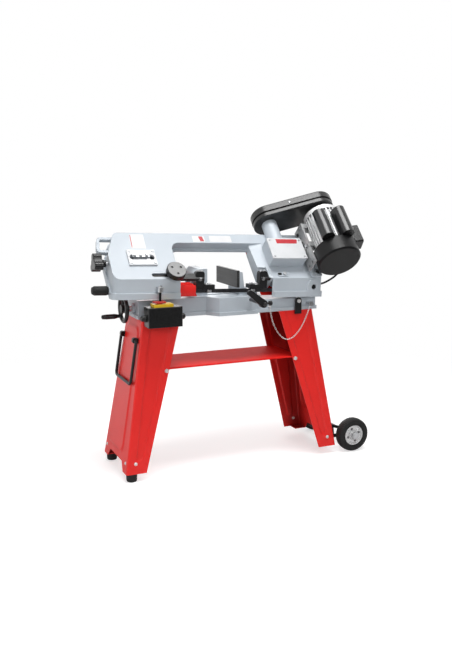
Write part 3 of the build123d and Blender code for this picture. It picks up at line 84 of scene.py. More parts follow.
def combined(tree, kind, operation, first, second):
    """Number that one operation of a Math or VectorMath node makes of two inputs."""
    made = tree.nodes.new("ShaderNode" + kind)
    made.operation = operation
    feed(tree, made.inputs[0], first)
    feed(tree, made.inputs[1], second)
    return made.outputs["Value"]


def spread(tree, value, start, end, low=0.0, high=1.0, shape="LINEAR"):
    """Number that goes from low to high as a value goes from start to end, evenly or as a smooth step."""
    made = node(tree, "MapRange", Value=value, From_Min=start, From_Max=end, To_Min=low, To_Max=high)
    made.interpolation_type = shape
    return made.outputs["Result"]


def tone_between(tree, share, first, second):
    """Colour that goes from first to second as a share goes from 0 to 1."""
    mix = tree.nodes.new("ShaderNodeMix")
    mix.data_type = "RGBA"
    tree.links.new(share, mix.inputs[0])
    for socket, tone in ((mix.inputs[6], first), (mix.inputs[7], second)):
        feed(tree, socket, tone if isinstance(tone, bpy.types.NodeSocket) else (*tone, 1.0))
    return mix.outputs[2]


# The third and fourth numbers set where, and how far, the painted highlight on the edges takes the colour.
DRIFT_SPAN, GRAIN_SPAN, EDGE_HIGHLIGHT_SPAN, EDGE_HIGHLIGHT_MOST = (0.32, 0.68), (0.3, 0.7), (0.99, 0.80), 0.75
BEVEL_SAMPLES, GAP_SAMPLES, COAT_ROUGH = 6, 8, 0.12


def finish(name, light, dark, rough, patch=6.0, grain=900.0, bump=0.05, depth=0.0004, metal=0.0, coat=0.0,
           specular=0.5, edge=0.0008, edge_highlight=None, stretch=(1, 1, 1)):
    """Finish of one material: a slow noise drifts the colour from light to dark, a fine noise moves the
    roughness between its two values and raises a small bump, edges are eased, and where the eased
    normal leaves the true one the colour goes to its edge tone, a painted highlight along the edges."""
    material = bpy.data.materials.new(name)
    material.use_nodes = True
    tree = material.node_tree
    place = node(tree, "TexCoord").outputs["Object"]
    place = node(tree, "Mapping", Vector=place, Scale=stretch).outputs["Vector"]
    slow = node(tree, "TexNoise", Vector=place, Scale=patch, Detail=4.0).outputs["Fac"]
    fine = node(tree, "TexNoise", Vector=place, Scale=grain, Detail=2.0).outputs["Fac"]
    tone = tone_between(tree, spread(tree, slow, *DRIFT_SPAN), light, dark)
    bevel = node(tree, "Bevel", Radius=edge)
    bevel.samples = BEVEL_SAMPLES
    eased = bevel.outputs["Normal"]
    raised = node(tree, "Bump", Strength=bump, Distance=depth, Height=fine, Normal=eased)
    # Painted highlight: a lighter tone along the edges, where the eased normal leaves the true one.
    if edge_highlight is not None:
        true = node(tree, "NewGeometry").outputs["Normal"]
        agree = combined(tree, "VectorMath", "DOT_PRODUCT", eased, true)
        tone = tone_between(tree, spread(tree, agree, *EDGE_HIGHLIGHT_SPAN, 0.0, EDGE_HIGHLIGHT_MOST), tone, edge_highlight)
    values = {
        "Base Color": tone, "Roughness": spread(tree, fine, *GRAIN_SPAN, *rough), "Metallic": metal,
        "Normal": raised.outputs["Normal"], "Specular IOR Level": specular, "Coat Weight": coat,
        "Coat Roughness": COAT_ROUGH,
    }
    for socket_name, value in values.items():
        feed(tree, tree.nodes["Principled BSDF"].inputs[socket_name], value)
    return material


def second_tone(material, measure, start, end, tone):
    """Second colour on a finish: it takes over as a measured number goes from start to end."""
    tree = material.node_tree
    colour = tree.nodes["Principled BSDF"].inputs["Base Color"]
    own_tone = colour.links[0].from_socket
    feed(tree, colour, tone_between(tree, spread(tree, measure, start, end), own_tone, tone))


def paint_recess_shade(material, dark, reach, deep, clear, own=True):
    """Painted shade: a dark tone in the recesses of a piece, where the share of open sky within a reach falls
    from clear to deep. Only the piece's own faces close it in, unless own is False."""
    gap = node(material.node_tree, "AmbientOcclusion", Distance=reach)
    gap.samples = GAP_SAMPLES
    gap.only_local = own
    second_tone(material, gap.outputs["AO"], clear, deep, dark)


def grid_faces(rows, columns, close_rows=False, close_columns=False):
    """Quads of a grid of points, joined round where a direction closes."""
    r = np.arange(rows if close_rows else rows - 1)[:, None]
    c = np.arange(columns if close_columns else columns - 1)[None, :]
    r2, c2 = (r + 1) % rows, (c + 1) % columns
    quads = [r * columns + c, r2 * columns + c, r2 * columns + c2, r * columns + c2]
    return np.stack(quads, -1).reshape(-1, 4)


def sheet_form(faces_of_sheet):
    """Closed sheet from the equal point grids of its two faces: both faces and the rim that joins them."""
    rows, columns = faces_of_sheet[0].shape[:2]
    count = rows * columns
    face = grid_faces(rows, columns)
    down, across = np.arange(rows) * columns, np.arange(columns)
    rim = np.concatenate([down, (rows - 1) * columns + across, (down + columns - 1)[::-1], across[::-1]])
    edge = np.stack([rim[:-1], rim[1:], rim[1:] + count, rim[:-1] + count], -1)[rim[:-1] != rim[1:]]
    points = np.concatenate([grid.reshape(-1, 3) for grid in faces_of_sheet])
    return at(points), np.concatenate([face, face[:, ::-1] + count, edge])


def mounted(name, mesh, material, body, sharp=35.0):
    """A mesh as a piece with one finish and edges left sharp above an angle. It rides on a body, unless
    that is None, and takes a slot's finish."""
    mesh.materials.clear()
    mesh.materials.append(material)
    mesh.polygons.foreach_set("use_smooth", [True] * len(mesh.polygons))
    mesh.set_sharp_from_angle(angle=math.radians(sharp))
    thing = bpy.data.objects.new(name, mesh)
    bpy.context.scene.collection.objects.link(thing)
    if body is not None:
        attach(thing, body)
    return thing


DOUBLES = 2e-6


def piece(name, forms, material, body, sharp=35.0):
    """New mesh piece from forms of points in metres and faces, with doubles merged and faces turned
    outwards."""
    points, faces, start = [], [], 0
    for form_points, form_faces in forms:
        form_points = np.asarray(form_points, float).reshape(-1, 3)
        points.append(form_points)
        faces += [[int(index) + start for index in face] for face in form_faces]
        start += len(form_points)
    mesh = bpy.data.meshes.new(name)
    mesh.from_pydata(np.concatenate(points).tolist(), [], faces)
    work = bmesh.new()
    work.from_mesh(mesh)
    bmesh.ops.remove_doubles(work, verts=work.verts, dist=DOUBLES)
    bmesh.ops.dissolve_degenerate(work, edges=work.edges, dist=DOUBLES / 2)
    bmesh.ops.recalc_face_normals(work, faces=work.faces)
    work.to_mesh(mesh)
    work.free()
    return mounted(name, mesh, material, body, sharp)


def ramp(t):
    """Smooth step from 0 to 1 as t goes from 0 to 1: t squared times (3 - 2 t)."""
    t = np.clip(t, 0.0, 1.0)
    return t * t * (3.0 - 2.0 * t)


def inside(reach_a, reach_b, corner):
    """Distance in from the edge of a field with rounded corners, from its distances in from two pairs of
    sides: the corner's radius less the length by which both fall short of it."""
    return corner - np.hypot(np.clip(corner - reach_a, 0, None), np.clip(corner - reach_b, 0, None))


def slab(x, y, z):
    """Thin rectangular plate between two values on each axis: eight corners and six faces."""
    corners = np.array([(a, b, c) for a in sorted(x) for b in sorted(y) for c in z], float)
    sides = [(0, 1, 3, 2), (4, 6, 7, 5), (0, 4, 5, 1), (2, 3, 7, 6), (0, 2, 6, 4), (1, 5, 7, 3)]
    return at(corners), sides


LEG_FOOT, LEG_TOP, LEG_SHEET, LEG_BEND = 27.0, 518.0, 2.5, 7.0
LEG_OUT, LEG_LEAN, LEG_HALF, LEG_TAPER, FLANGE_FOOT, FLANGE_WIDENS = 389.0, 79.0, 134.0, 49.5, 69.0, 61.0
NOTCH_HALF, NOTCH_FLANK, NOTCH_RISE = 90.0, 22.0, 29.0
FIELD_TOP, FIELD_FRONT, FIELD_RIM, FIELD_CORNER, FIELD_RISE, FIELD_FLANK = 497.0, 70.0, 24.0, 30.0, 3.8, 7.0
DISH_LOW, DISH_BEND, DISH_RIM, DISH_CORNER, DISH_DEPTH, DISH_FLANK = 70.0, 27.0, 22.0, 12.0, 3.0, 4.5
FLANGE_STEPS, BEND_STEPS, PANEL_STEPS, LEG_ROWS = 30, 6, 84, 120
TOP_PLATE_X, TOP_PLATE_Y, PAD_X, PAD_Y = (303.5, 180.0), (-82.0, 82.0), (386.0, 346.0), (92.0, 131.0)


def pressed_leg(end, field_low):
    """Sheet channel of one leg. A column keeps its place round the section and a row its share of the
    height: x = -outer + bend (1 - nx) + f (flange - bend) and y = (half - bend) g + bend ny, where the
    section narrows with height. Both faces move along the normal by the depth of the pressed fields."""
    turn = np.linspace(0, math.pi / 2, BEND_STEPS + 2)[1:-1]
    away, flat = np.linspace(1, 0, FLANGE_STEPS), np.linspace(-1, 1, PANEL_STEPS)
    none, one = np.zeros(FLANGE_STEPS), np.ones(FLANGE_STEPS)
    f = np.r_[away, 0 * turn, 0 * flat, 0 * turn, away[::-1]]
    g = np.r_[-one, 0 * turn - 1, flat, 0 * turn + 1, one]
    nx = np.r_[none, np.sin(turn), 0 * flat + 1, np.cos(turn), none]
    ny = np.r_[-one, -np.cos(turn), 0 * flat, np.sin(turn), one]
    foot_y = np.abs((LEG_HALF - LEG_BEND) * g + LEG_BEND * ny)
    low = LEG_FOOT + NOTCH_RISE * np.clip((NOTCH_HALF - foot_y) / NOTCH_FLANK, 0, 1)
    z = low + np.linspace(0, 1, LEG_ROWS)[:, None] * (LEG_TOP - low)
    share = (z - LEG_FOOT) / (LEG_TOP - LEG_FOOT)
    outer, half = LEG_OUT - LEG_LEAN * share, LEG_HALF - LEG_TAPER * share
    flange = FLANGE_FOOT + FLANGE_WIDENS * share
    x = -outer + LEG_BEND * (1 - nx) + f * (flange - LEG_BEND)
    y = (half - LEG_BEND) * g + LEG_BEND * ny
    field_across = np.minimum(y + FIELD_FRONT, half - FIELD_RIM - y)
    field_in = inside(field_across, np.minimum(z - field_low, FIELD_TOP - z), FIELD_CORNER)
    dish_across = np.minimum(x + outer - DISH_BEND, flange - DISH_RIM - x - outer)
    dish_in = inside(dish_across, z - DISH_LOW, DISH_CORNER)
    press = FIELD_RISE * nx * ramp(field_in / FIELD_FLANK)
    press = press - DISH_DEPTH * (1 - nx) * ramp(dish_in / DISH_FLANK)
    moves = press, press - LEG_SHEET
    return sheet_form([np.stack([end * (nx * move - x), y + ny * move, z], -1) for move in moves])


red_coat = finish("red_powder_coat", (0.93, 0.020, 0.015), (0.87, 0.016, 0.012), (0.32, 0.44), patch=5.0,
                  grain=700.0, bump=0.10, specular=0.45, edge_highlight=(0.92, 0.075, 0.06))
# Painted shade: the red goes dark in the channels, where their own walls hide the sky within 0.2 m.
paint_recess_shade(red_coat, (0.36, 0.010, 0.008), reach=0.2, deep=0.62, clear=0.94)
for leg_name, leg_end, field_low in (("left_leg", -1, 80.0), ("right_leg", 1, 118.0)):
    top_x, pad_x = leg_end * np.array(TOP_PLATE_X), leg_end * np.array(PAD_X)
    leg_forms = [pressed_leg(leg_end, field_low), slab(top_x, TOP_PLATE_Y, (LEG_TOP - LEG_SHEET, LEG_TOP))]
    for leg_side in (-1, 1):
        leg_forms.append(slab(pad_x, leg_side * np.array(PAD_Y), (LEG_FOOT, LEG_FOOT + LEG_SHEET)))
    leg = piece(leg_name + "_pressing", leg_forms, red_coat, "base")
    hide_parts(leg_name)

# Shelf: a plate of the same red sheet with a narrow edge turned down all round and four deeper tabs,
# which are bolted to the leg flanges. Its coat is duller, from what lies on it.
shelf_coat = finish("dull_red_coat", (0.86, 0.018, 0.014), (0.76, 0.014, 0.011), (0.60, 0.72), patch=7.0,
                    grain=600.0, bump=0.12, specular=0.12, edge_highlight=(0.66, 0.05, 0.04))
SHELF_TOP, SHELF_HALF, SHELF_REACH, SHELF_SHEET, SHELF_BEND = 360.0, 97.8, 250.0, 2.0, 3.0
SHELF_EDGE, SHELF_TAB, TAB_AT, TAB_FLANK = 5.0, 15.0, 226.0, 6.0
SHELF_SAG, SAG_HALF, SAG_REACH = 1.2, 92.0, 240.0
SHELF_ROWS, SHELF_FLAT_STEPS, SHELF_BEND_STEPS = 101, 41, 5


def shelf_form():
    """Shelf sheet: each column along x has one section across y, flat between two bends of 3 mm and then
    down by the edge's depth, which grows from 5 to 15 at the four tabs. The middle sinks by a little."""
    along = np.linspace(-SHELF_REACH, SHELF_REACH, SHELF_ROWS)[:, None]
    turn = np.linspace(0, math.pi / 2, SHELF_BEND_STEPS)[1:]
    flat = np.linspace(-1, 1, SHELF_FLAT_STEPS) * (SHELF_HALF - SHELF_BEND)
    deep = SHELF_EDGE + (SHELF_TAB - SHELF_EDGE) * ramp((np.abs(along) - TAB_AT) / TAB_FLANK)
    sheets = []
    for inset in (0.0, SHELF_SHEET):
        bend = SHELF_BEND - inset
        side = SHELF_HALF - SHELF_BEND + bend * np.sin(turn)
        fall = SHELF_BEND - bend * np.cos(turn)
        y = np.r_[-SHELF_HALF + inset, -side[::-1], flat, side, SHELF_HALF - inset]
        drop = np.r_[0.0, fall[::-1], 0 * flat + inset, fall, 0.0] + 0 * along
        drop[:, :1], drop[:, -1:] = deep, deep
        sag = np.clip(1 - (y / SAG_HALF) ** 2, 0, 1) * np.clip(1 - (along / SAG_REACH) ** 2, 0, 1)
        z = SHELF_TOP - drop - SHELF_SAG * sag
        sheets.append(np.stack([along + 0 * y, y + 0 * along, z], -1))
    return sheet_form(sheets)


shelf_sheet = piece("shelf_sheet", [shelf_form()], shelf_coat, "base")
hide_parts("shelf")

# Rubber feet: black moulded stops, wider at the top, with one groove round the middle.
# They are pressed on under the corners of the left leg.
rubber = finish("black_rubber", (0.010, 0.010, 0.0105), (0.018, 0.018, 0.018), (0.50, 0.68), grain=500.0,
                bump=0.2, specular=0.35)
UPRIGHT = 0.9


def turned_form(profile, centre, axis, steps=48):
    """A (radius, distance) profile in millimetres carried round an axis through a centre:
    point = centre + distance axis + radius (cos a u + sin a v). Six steps give a hexagon."""
    axis = np.asarray(axis, float) / np.linalg.norm(axis)
    aside = np.cross(axis, (0, 0, 1.0) if abs(axis[2]) < UPRIGHT else (1.0, 0, 0))
    aside /= np.linalg.norm(aside)
    across = np.cross(axis, aside)
    angle = np.linspace(0, 2 * math.pi, steps, endpoint=False)
    ring = np.cos(angle)[:, None] * aside + np.sin(angle)[:, None] * across
    radius, distance = np.asarray(profile, float).T
    points = np.asarray(centre, float) + distance[:, None, None] * axis + radius[:, None, None] * ring
    return points, grid_faces(len(profile), steps, False, True)


def in_frame(form):
    """A form of machine millimetres in frame metres."""
    return at(form[0]), form[1]


FOOT_X, FOOT_Y = -366, 116
FOOT_PROFILE = [
    (0, 0), (13.5, 0), (15.6, 0.7), (16.8, 2.2), (17.2, 4), (17.7, 11), (17.2, 12.2), (17.8, 13.4),
    (18.6, 24), (18.9, 26.2), (18.4, 27), (0, 27),
]
foot_forms = [in_frame(turned_form(FOOT_PROFILE, (FOOT_X, side * FOOT_Y, 0), (0, 0, 1))) for side in (-1, 1)]
feet = piece("moulded_feet", foot_forms, rubber, "base")
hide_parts("rubber_feet")

# Stand bolts: zinc plated round heads on washers, with hexagon nuts inside the channel.
# They go through the flanges and, on the left, through the panel above the feet.
bright_steel = finish("zinc_steel", (0.66, 0.67, 0.68), (0.54, 0.55, 0.57), (0.26, 0.42), patch=30.0,
                      grain=300.0, bump=0.05, metal=1.0)
head_zinc = finish("bright_zinc_heads", (0.80, 0.78, 0.77), (0.70, 0.68, 0.67), (0.25, 0.4), patch=30.0,
                   grain=300.0, bump=0.05, metal=0.3)
DOME_PROFILE = [
    (0, 3.7), (1.6, 3.5), (3.0, 2.9), (4.1, 1.9), (4.6, 0.9), (4.6, 0.8), (5.7, 0.7), (5.9, 0.4), (5.9, -0.5),
]
NUT_PROFILE = [(0, 5.0), (4.6, 5.0), (5.6, 4.4), (5.6, -0.5)]
BOLT_Z, FLANGE_BOLT_X, FLANGE_BOLT_Y, PANEL_BOLT_X, PANEL_BOLT_Y = 60.5, 355.5, 130.6, 383.6, 109.0
FLANGE_SLANT, PANEL_SLANT, DOME_STEPS, HEXAGON = 0.1, 0.16, 28, 6
bolt_forms = []
for leg_end in (-1, 1):
    for leg_side in (-1, 1):
        head_seat = (leg_end * FLANGE_BOLT_X, leg_side * FLANGE_BOLT_Y, BOLT_Z)
        nut_seat = (leg_end * FLANGE_BOLT_X, leg_side * (FLANGE_BOLT_Y - LEG_SHEET), BOLT_Z)
        heads = [
            turned_form(DOME_PROFILE, head_seat, (0, leg_side, FLANGE_SLANT), DOME_STEPS),
            turned_form(NUT_PROFILE, nut_seat, (0, -leg_side, -FLANGE_SLANT), HEXAGON),
        ]
        if leg_end < 0:
            panel_seat = (leg_end * PANEL_BOLT_X, leg_side * PANEL_BOLT_Y, BOLT_Z)
            heads.append(turned_form(DOME_PROFILE, panel_seat, (leg_end, 0, PANEL_SLANT), DOME_STEPS))
        bolt_forms += [in_frame(head) for head in heads]
piece("stand_bolt_heads", bolt_forms, head_zinc, "base")

# Carry handle: a bent steel bar painted satin black.
# It hangs in two eyes that are screwed to the panel of the left leg.
black_paint = finish("satin_black_paint", (0.010, 0.010, 0.0105), (0.017, 0.017, 0.018), (0.32, 0.46),
                     grain=800.0, bump=0.1, specular=0.4, edge_highlight=(0.035, 0.034, 0.033))


def dress(material, *names):
    """Give CAD nodes a finish."""
    for name in names:
        node_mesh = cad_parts[name].data
        node_mesh.materials.clear()
        node_mesh.materials.append(material)


dress(black_paint, "carry_handle", "handle_eyes")

# Axle bracket: a folded black sheet bolted to the right leg.
# The bright steel axle goes through its two arms.
dress(black_paint, "axle_bracket")
dress(bright_steel, "axle")

# Cart wheel tyres: solid black rubber, moulded with two running grooves and cross cuts in the tread and
# a raised ring on each side wall, pushed onto the hubs.
tyre_rubber = finish("tyre_rubber", (0.010, 0.010, 0.0105), (0.017, 0.017, 0.017), (0.50, 0.70), grain=400.0,
                     bump=0.25, specular=0.3)
WHEEL_Y, WHEEL_Z, WHEELS = 135.0, 60.0, (("front", -1), ("rear", 1))
TYRE_STEPS, TYRE_SECTION, TREAD_CUTS, TREAD_DEPTH = 384, 72, 48, 1.7
TYRE_HALF, TYRE_RING, TYRE_THICK, TYRE_SQUARE, CROWN_AT, CROWN_FLANK = 18.5, 48.0, 12.0, 2.0 / 3.0, 54.0, 3.0
GROOVE_AT, GROOVE_HALF, GROOVE_FLANK = 5.0, 0.5, 0.9
CUT_LEAN, CUT_HALF, CUT_FLANK, CUT_START = 0.04, 0.09, 0.08, 1.5
WALL_RING, WALL_RING_HALF, WALL_RISE, WALL_AT = 46.0, 1.4, 0.5, 17.0


def tyre_form(centre_y):
    """Tyre round the axle: its section is a rounded square, half width 18.5 and radius 48 + 12, whose
    crown is lowered by running grooves at 5 mm from the middle and by cross cuts on the shoulders."""
    around = np.linspace(0, 2 * math.pi, TYRE_STEPS, endpoint=False)[None, :]
    section = np.linspace(0, 2 * math.pi, TYRE_SECTION, endpoint=False)[:, None]
    out, up = np.cos(section), np.sin(section)
    wide = TYRE_HALF * np.sign(out) * np.abs(out) ** TYRE_SQUARE + 0 * around
    reach = TYRE_RING + TYRE_THICK * np.sign(up) * np.abs(up) ** TYRE_SQUARE + 0 * around
    crown = ramp((reach - CROWN_AT) / CROWN_FLANK)
    running = 1 - ramp((np.abs(np.abs(wide) - GROOVE_AT) - GROOVE_HALF) / GROOVE_FLANK)
    lean = (around * TREAD_CUTS / (2 * math.pi) + np.abs(wide) * CUT_LEAN) % 1.0
    cuts = 1 - ramp((np.abs(lean - 0.5) - CUT_HALF) / CUT_FLANK)
    cuts = cuts * ramp((np.abs(wide) - GROOVE_AT) / CUT_START)
    reach = reach - TREAD_DEPTH * crown * np.maximum(running, cuts)
    ring = np.exp(-((reach - WALL_RING) / WALL_RING_HALF) ** 2)
    wide = wide - WALL_RISE * np.sign(wide) * (1 - ring) * (np.abs(wide) > WALL_AT)
    x, z = AXLE_X + reach * np.cos(around), WHEEL_Z + reach * np.sin(around)
    return at(np.stack([x, centre_y + wide, z], -1)), grid_faces(TYRE_SECTION, TYRE_STEPS, True, True)


for wheel_name, wheel_side in WHEELS:
    tyre_forms = [tyre_form(wheel_side * WHEEL_Y)]
    tyre = piece(wheel_name + "_tyre_moulding", tyre_forms, tyre_rubber, wheel_name + "_wheel")
    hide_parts(wheel_name + "_tyre")

# Cart wheel hubs: discs pressed from zinc plated sheet, with four round holes.
# A bright boss in the middle runs on the axle.
hub_grey = finish("hub_zinc", (0.84, 0.845, 0.85), (0.70, 0.705, 0.71), (0.24, 0.38), patch=40.0, grain=300.0,
                  bump=0.1, metal=0.6, edge_highlight=(0.90, 0.90, 0.90))
# Painted shade: the hole dimples and the gaps by the boss and tyre go dark.
paint_recess_shade(hub_grey, (0.10, 0.10, 0.102), reach=0.012, deep=0.40, clear=0.85, own=False)
DISC_ROWS, DISC_STEPS, DISC_INNER, DISC_OUTER = 30, 120, 15.1, 35.6
DISC_FLAT, DISC_SHEET, DISC_BACK = 11.0, 1.5, 9.5
BOSS_AT, BOSS_FLANK, BOSS_RISE = 17.5, 2.2, 4.0
RIM_AT, RIM_FLANK, RIM_RISE, LIP_AT, LIP_FLANK, LIP_DROP = 29.5, 3.0, 4.2, 34.4, 1.0, 1.0
HOLES, HOLE_TURN, HOLE_RING, HOLE_RADIUS, HOLE_FLANK, HOLE_DEPTH = 4, 0.3, 23.0, 4.2, 0.9, 4.0


def hub_disc(side):
    """Pressed disc round the boss: its height over the wheel's middle plane is 11 at the flat, rises to
    15 at the boss and at the rim, and dips by 4 in round holes at radius 23."""
    radius = np.linspace(DISC_INNER, DISC_OUTER, DISC_ROWS)[:, None]
    angle = np.linspace(0, 2 * math.pi, DISC_STEPS, endpoint=False)[None, :]
    height = DISC_FLAT + BOSS_RISE * ramp((BOSS_AT - radius) / BOSS_FLANK)
    height = height + RIM_RISE * ramp((radius - RIM_AT) / RIM_FLANK)
    height = height - LIP_DROP * ramp((radius - LIP_AT) / LIP_FLANK)
    turn = (angle * HOLES / (2 * math.pi) + HOLE_TURN) % 1.0 - 0.5
    away = np.hypot(radius - HOLE_RING, turn * 2 * math.pi / HOLES * HOLE_RING)
    height = height - HOLE_DEPTH * ramp((HOLE_RADIUS - away) / HOLE_FLANK)
    x, z = AXLE_X + radius * np.cos(angle), WHEEL_Z + radius * np.sin(angle)
    under = np.minimum(height - DISC_SHEET, DISC_BACK)
    front, back = [np.stack([x, side * (WHEEL_Y + level), z], -1) for level in (height, under)]
    return at(np.concatenate([front, back[::-1]])), grid_faces(2 * DISC_ROWS, DISC_STEPS, True, True)


for wheel_name, wheel_side in WHEELS:
    dress(hub_grey, wheel_name + "_hub")
    piece(wheel_name + "_hub_disc", [hub_disc(wheel_side)], hub_grey, wheel_name + "_wheel")

# Bed: a hollow iron casting with blue-grey machine paint, its slots cut through and its edges eased.
# It stands on the legs, and plated bolts hold what is fixed to it.
cast_paint = finish("blue_grey_machine_paint", (0.535, 0.585, 0.635), (0.49, 0.54, 0.59), (0.32, 0.46),
                    patch=9.0, grain=420.0, bump=0.16, coat=0.1, specular=0.4, edge=0.0016,
                    edge_highlight=(0.70, 0.74, 0.78))
dress(cast_paint, "bed")
dress(head_zinc, "base_bolts")

# Vise: cast jaws painted as the bed, the fixed one faced with a ground steel plate.
# A bright screw moves the other, turned by a black handwheel with a moulded grip.
ground_plate = finish("ground_jaw_plate", (0.075, 0.075, 0.076), (0.05, 0.05, 0.051), (0.34, 0.52),
                      grain=260.0, bump=0.12, metal=0.5, stretch=(1, 1, 12), edge_highlight=(0.22, 0.22, 0.22))
dress(cast_paint, "fixed_jaw", "moving_jaw")
dress(ground_plate, "fixed_jaw_plate")
dress(bright_steel, "vise_screw")
dress(black_paint, "handwheel")


def moulded_black(name, rough, specular):
    """Black plastic of a roughness and gloss, with a fine grain and well eased edges."""
    return finish(name, (0.006, 0.006, 0.0064), (0.010, 0.010, 0.0105), rough, grain=1300.0, bump=0.1,
                  depth=0.0002, specular=specular, edge=0.0022)


black_plastic = moulded_black("moulded_black_plastic", (0.22, 0.32), 0.46)
dress(black_plastic, "crank_grip")

# Switch box: a moulded black box with cable glands, screwed to the front of the bed.
# On it are the switch's yellow base and red stop paddle.
yellow_plastic = finish("yellow_plastic", (0.83, 0.56, 0.02), (0.78, 0.50, 0.015), (0.25, 0.35), grain=1300.0,
                        bump=0.06)
red_plastic = finish("red_plastic", (0.62, 0.03, 0.02), (0.55, 0.022, 0.016), (0.22, 0.33), grain=1300.0,
                     bump=0.06)
dress(black_plastic, "switch_box")
dress(yellow_plastic, "switch_base")
dress(red_plastic, "switch_flap")

# Work stop: a dark oiled steel rod that slides in the block of the bed.
# A black arm is clamped on its end by a thumb screw.
dark_steel = finish("oiled_dark_steel", (0.16, 0.16, 0.165), (0.10, 0.10, 0.105), (0.28, 0.42), patch=30.0,
                    grain=300.0, bump=0.06, metal=0.9, edge_highlight=(0.35, 0.35, 0.35))
dress(dark_steel, "stop_rod")
dress(black_paint, "stop_arm")

# Latch strap and lock pin: a flat black strap that swings on its bolt in the tail of the bed.
# Beside it a bright steel pin is pushed into a bore of the tail.
dress(black_paint, "latch_strap")
dress(bright_steel, "lock_pin")

# Lock chain: a zinc jack chain that hangs from an eye in the bed to the lock pin.
# Every second link is turned a quarter round the line.
CHAIN_ROUTE = [
    (143, -88, 534), (147, -91, 500), (160, -95, 462), (182, -98.5, 430), (208, -100, 418),
    (236, -100.5, 432), (262, -101.5, 465), (280, -103, 505), (290.5, -103.5, 536.2),
]
CHAIN_WIDTH, CHAIN_WIRE, CHAIN_PITCH, LINK_LAP = 0.0052, 0.00072, 0.0072, 2.6
LINK_STEPS, WIRE_STEPS, LINK_LOOK, LINK_ROLL = 14, 6, 0.001, math.pi / 12


def smooth_line(name, points):
    """Curve led by a route's control points: one open spline of order 3 that meets both ends."""
    curve = bpy.data.curves.new(name, "CURVE")
    curve.dimensions = "3D"
    curve.resolution_u = 24
    spline = curve.splines.new("NURBS")
    spline.points.add(len(points) - 1)
    spline.points.foreach_set("co", np.c_[points, np.ones(len(points))].ravel())
    spline.order_u = 3
    spline.use_endpoint_u = True
    thing = bpy.data.objects.new(name, curve)
    bpy.context.scene.collection.objects.link(thing)
    return thing


def line_points(thing):
    """Points of a curve's own line, as Blender gives them for a curve with no bevel."""
    bpy.context.view_layer.update()
    mesh = bpy.data.meshes.new_from_object(thing.evaluated_get(bpy.context.evaluated_depsgraph_get()))
    points = np.zeros(len(mesh.vertices) * 3)
    mesh.vertices.foreach_get("co", points)
    bpy.data.meshes.remove(mesh)
    return points.reshape(-1, 3)


chain_line = smooth_line("chain_line", at(CHAIN_ROUTE))
chain_path = line_points(chain_line)
bpy.data.objects.remove(chain_line)
chain_run = np.r_[0, np.cumsum(np.linalg.norm(np.diff(chain_path, axis=0), axis=1))]
link_count = int(chain_run[-1] / CHAIN_PITCH)
link_places = (np.arange(link_count) + 0.5) * chain_run[-1] / link_count


def on_chain(places):
    """Points of the chain's line at distances along it."""
    return np.stack([np.interp(places, chain_run, chain_path[:, k]) for k in range(3)], 1)


def link_form():
    """All links: each is a round wire carried along an obround of two half circles and two straights, set
    on the line as middle + long along + wide across + up out, with the two last turned by its roll."""
    along = on_chain(link_places + LINK_LOOK) - on_chain(link_places - LINK_LOOK)
    along /= np.linalg.norm(along, axis=1)[:, None]
    across = np.cross(along, [0.0, 1.0, 0.0])
    across /= np.linalg.norm(across, axis=1)[:, None]
    out = np.cross(along, across)
    roll = (np.arange(link_count) % 2 * (math.pi / 2) + LINK_ROLL)[:, None]
    wide = across * np.cos(roll) + out * np.sin(roll)
    thick = out * np.cos(roll) - across * np.sin(roll)
    turn = np.linspace(0, 2 * math.pi, LINK_STEPS, endpoint=False)[:, None]
    wire = np.linspace(0, 2 * math.pi, WIRE_STEPS, endpoint=False)[None, :]
    half_width = CHAIN_WIDTH / 2 - CHAIN_WIRE
    half_straight = (CHAIN_PITCH + LINK_LAP * CHAIN_WIRE) / 2 - half_width
    reach = half_width + CHAIN_WIRE * np.cos(wire)
    sizes = [
        reach * np.cos(turn) + half_straight * np.sign(np.cos(turn)), reach * np.sin(turn),
        CHAIN_WIRE * np.sin(wire) + 0 * turn,
    ]
    points = on_chain(link_places)[:, None, None, :]
    for size, way in zip(sizes, (along, wide, thick)):
        points = points + size[None, ..., None] * way[:, None, None, :]
    first = np.arange(link_count) * LINK_STEPS * WIRE_STEPS
    faces = grid_faces(LINK_STEPS, WIRE_STEPS, True, True)[None] + first[:, None, None]
    return points, faces.reshape(-1, 4)


chain = piece("lock_chain_links", [link_form()], head_zinc, None)
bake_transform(chain)
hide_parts("lock_chain")

# Bow casting: one hollow iron casting, painted as the bed, hinged on two pins at the right.
# Its front pin is covered by a black plug in the arched pad.
dress(cast_paint, "bow_frame")
PIVOT = np.array([306.0, 0.0, 597.0])
PLUG_Y = -92.5
PLUG_PROFILE = [(0, 2.2), (6.5, 2.0), (8.2, 1.2), (8.8, 0), (8.8, -1.5)]
plug = in_frame(turned_form(PLUG_PROFILE, PIVOT + (0, PLUG_Y, 0), (0, -1, 0)))
piece("pivot_plug", [plug], black_plastic, "base")

# Band covers: red sheets screwed under the two pans.
# The left one is cut along the end wall of its pan, which leans in towards the back.
REST_TILT, SLOPE = math.radians(2.45), math.radians(45.0)
BOW_AXIS = np.array([0.0, -3.9, 650.0])


def tilted(points):
    """Points of the level bow, turned about the pivot by the tilt at which it rests."""
    points = np.asarray(points, float) - PIVOT
    x, y, z = points[..., 0], points[..., 1], points[..., 2]
    c, s = math.cos(REST_TILT), math.sin(REST_TILT)
    return np.stack([x * c + z * s, y, z * c - x * s], -1) + PIVOT


def bow_at(points):
    """Points in the bow's own plane, turned by the slope of the blade and tilted to rest, in the frame."""
    points = np.asarray(points, float)
    x, y, z = points[..., 0], points[..., 1], points[..., 2]
    c, s = math.cos(SLOPE), math.sin(SLOPE)
    return at(tilted(np.stack([x, y * c - z * s, y * s + z * c], -1) + BOW_AXIS))


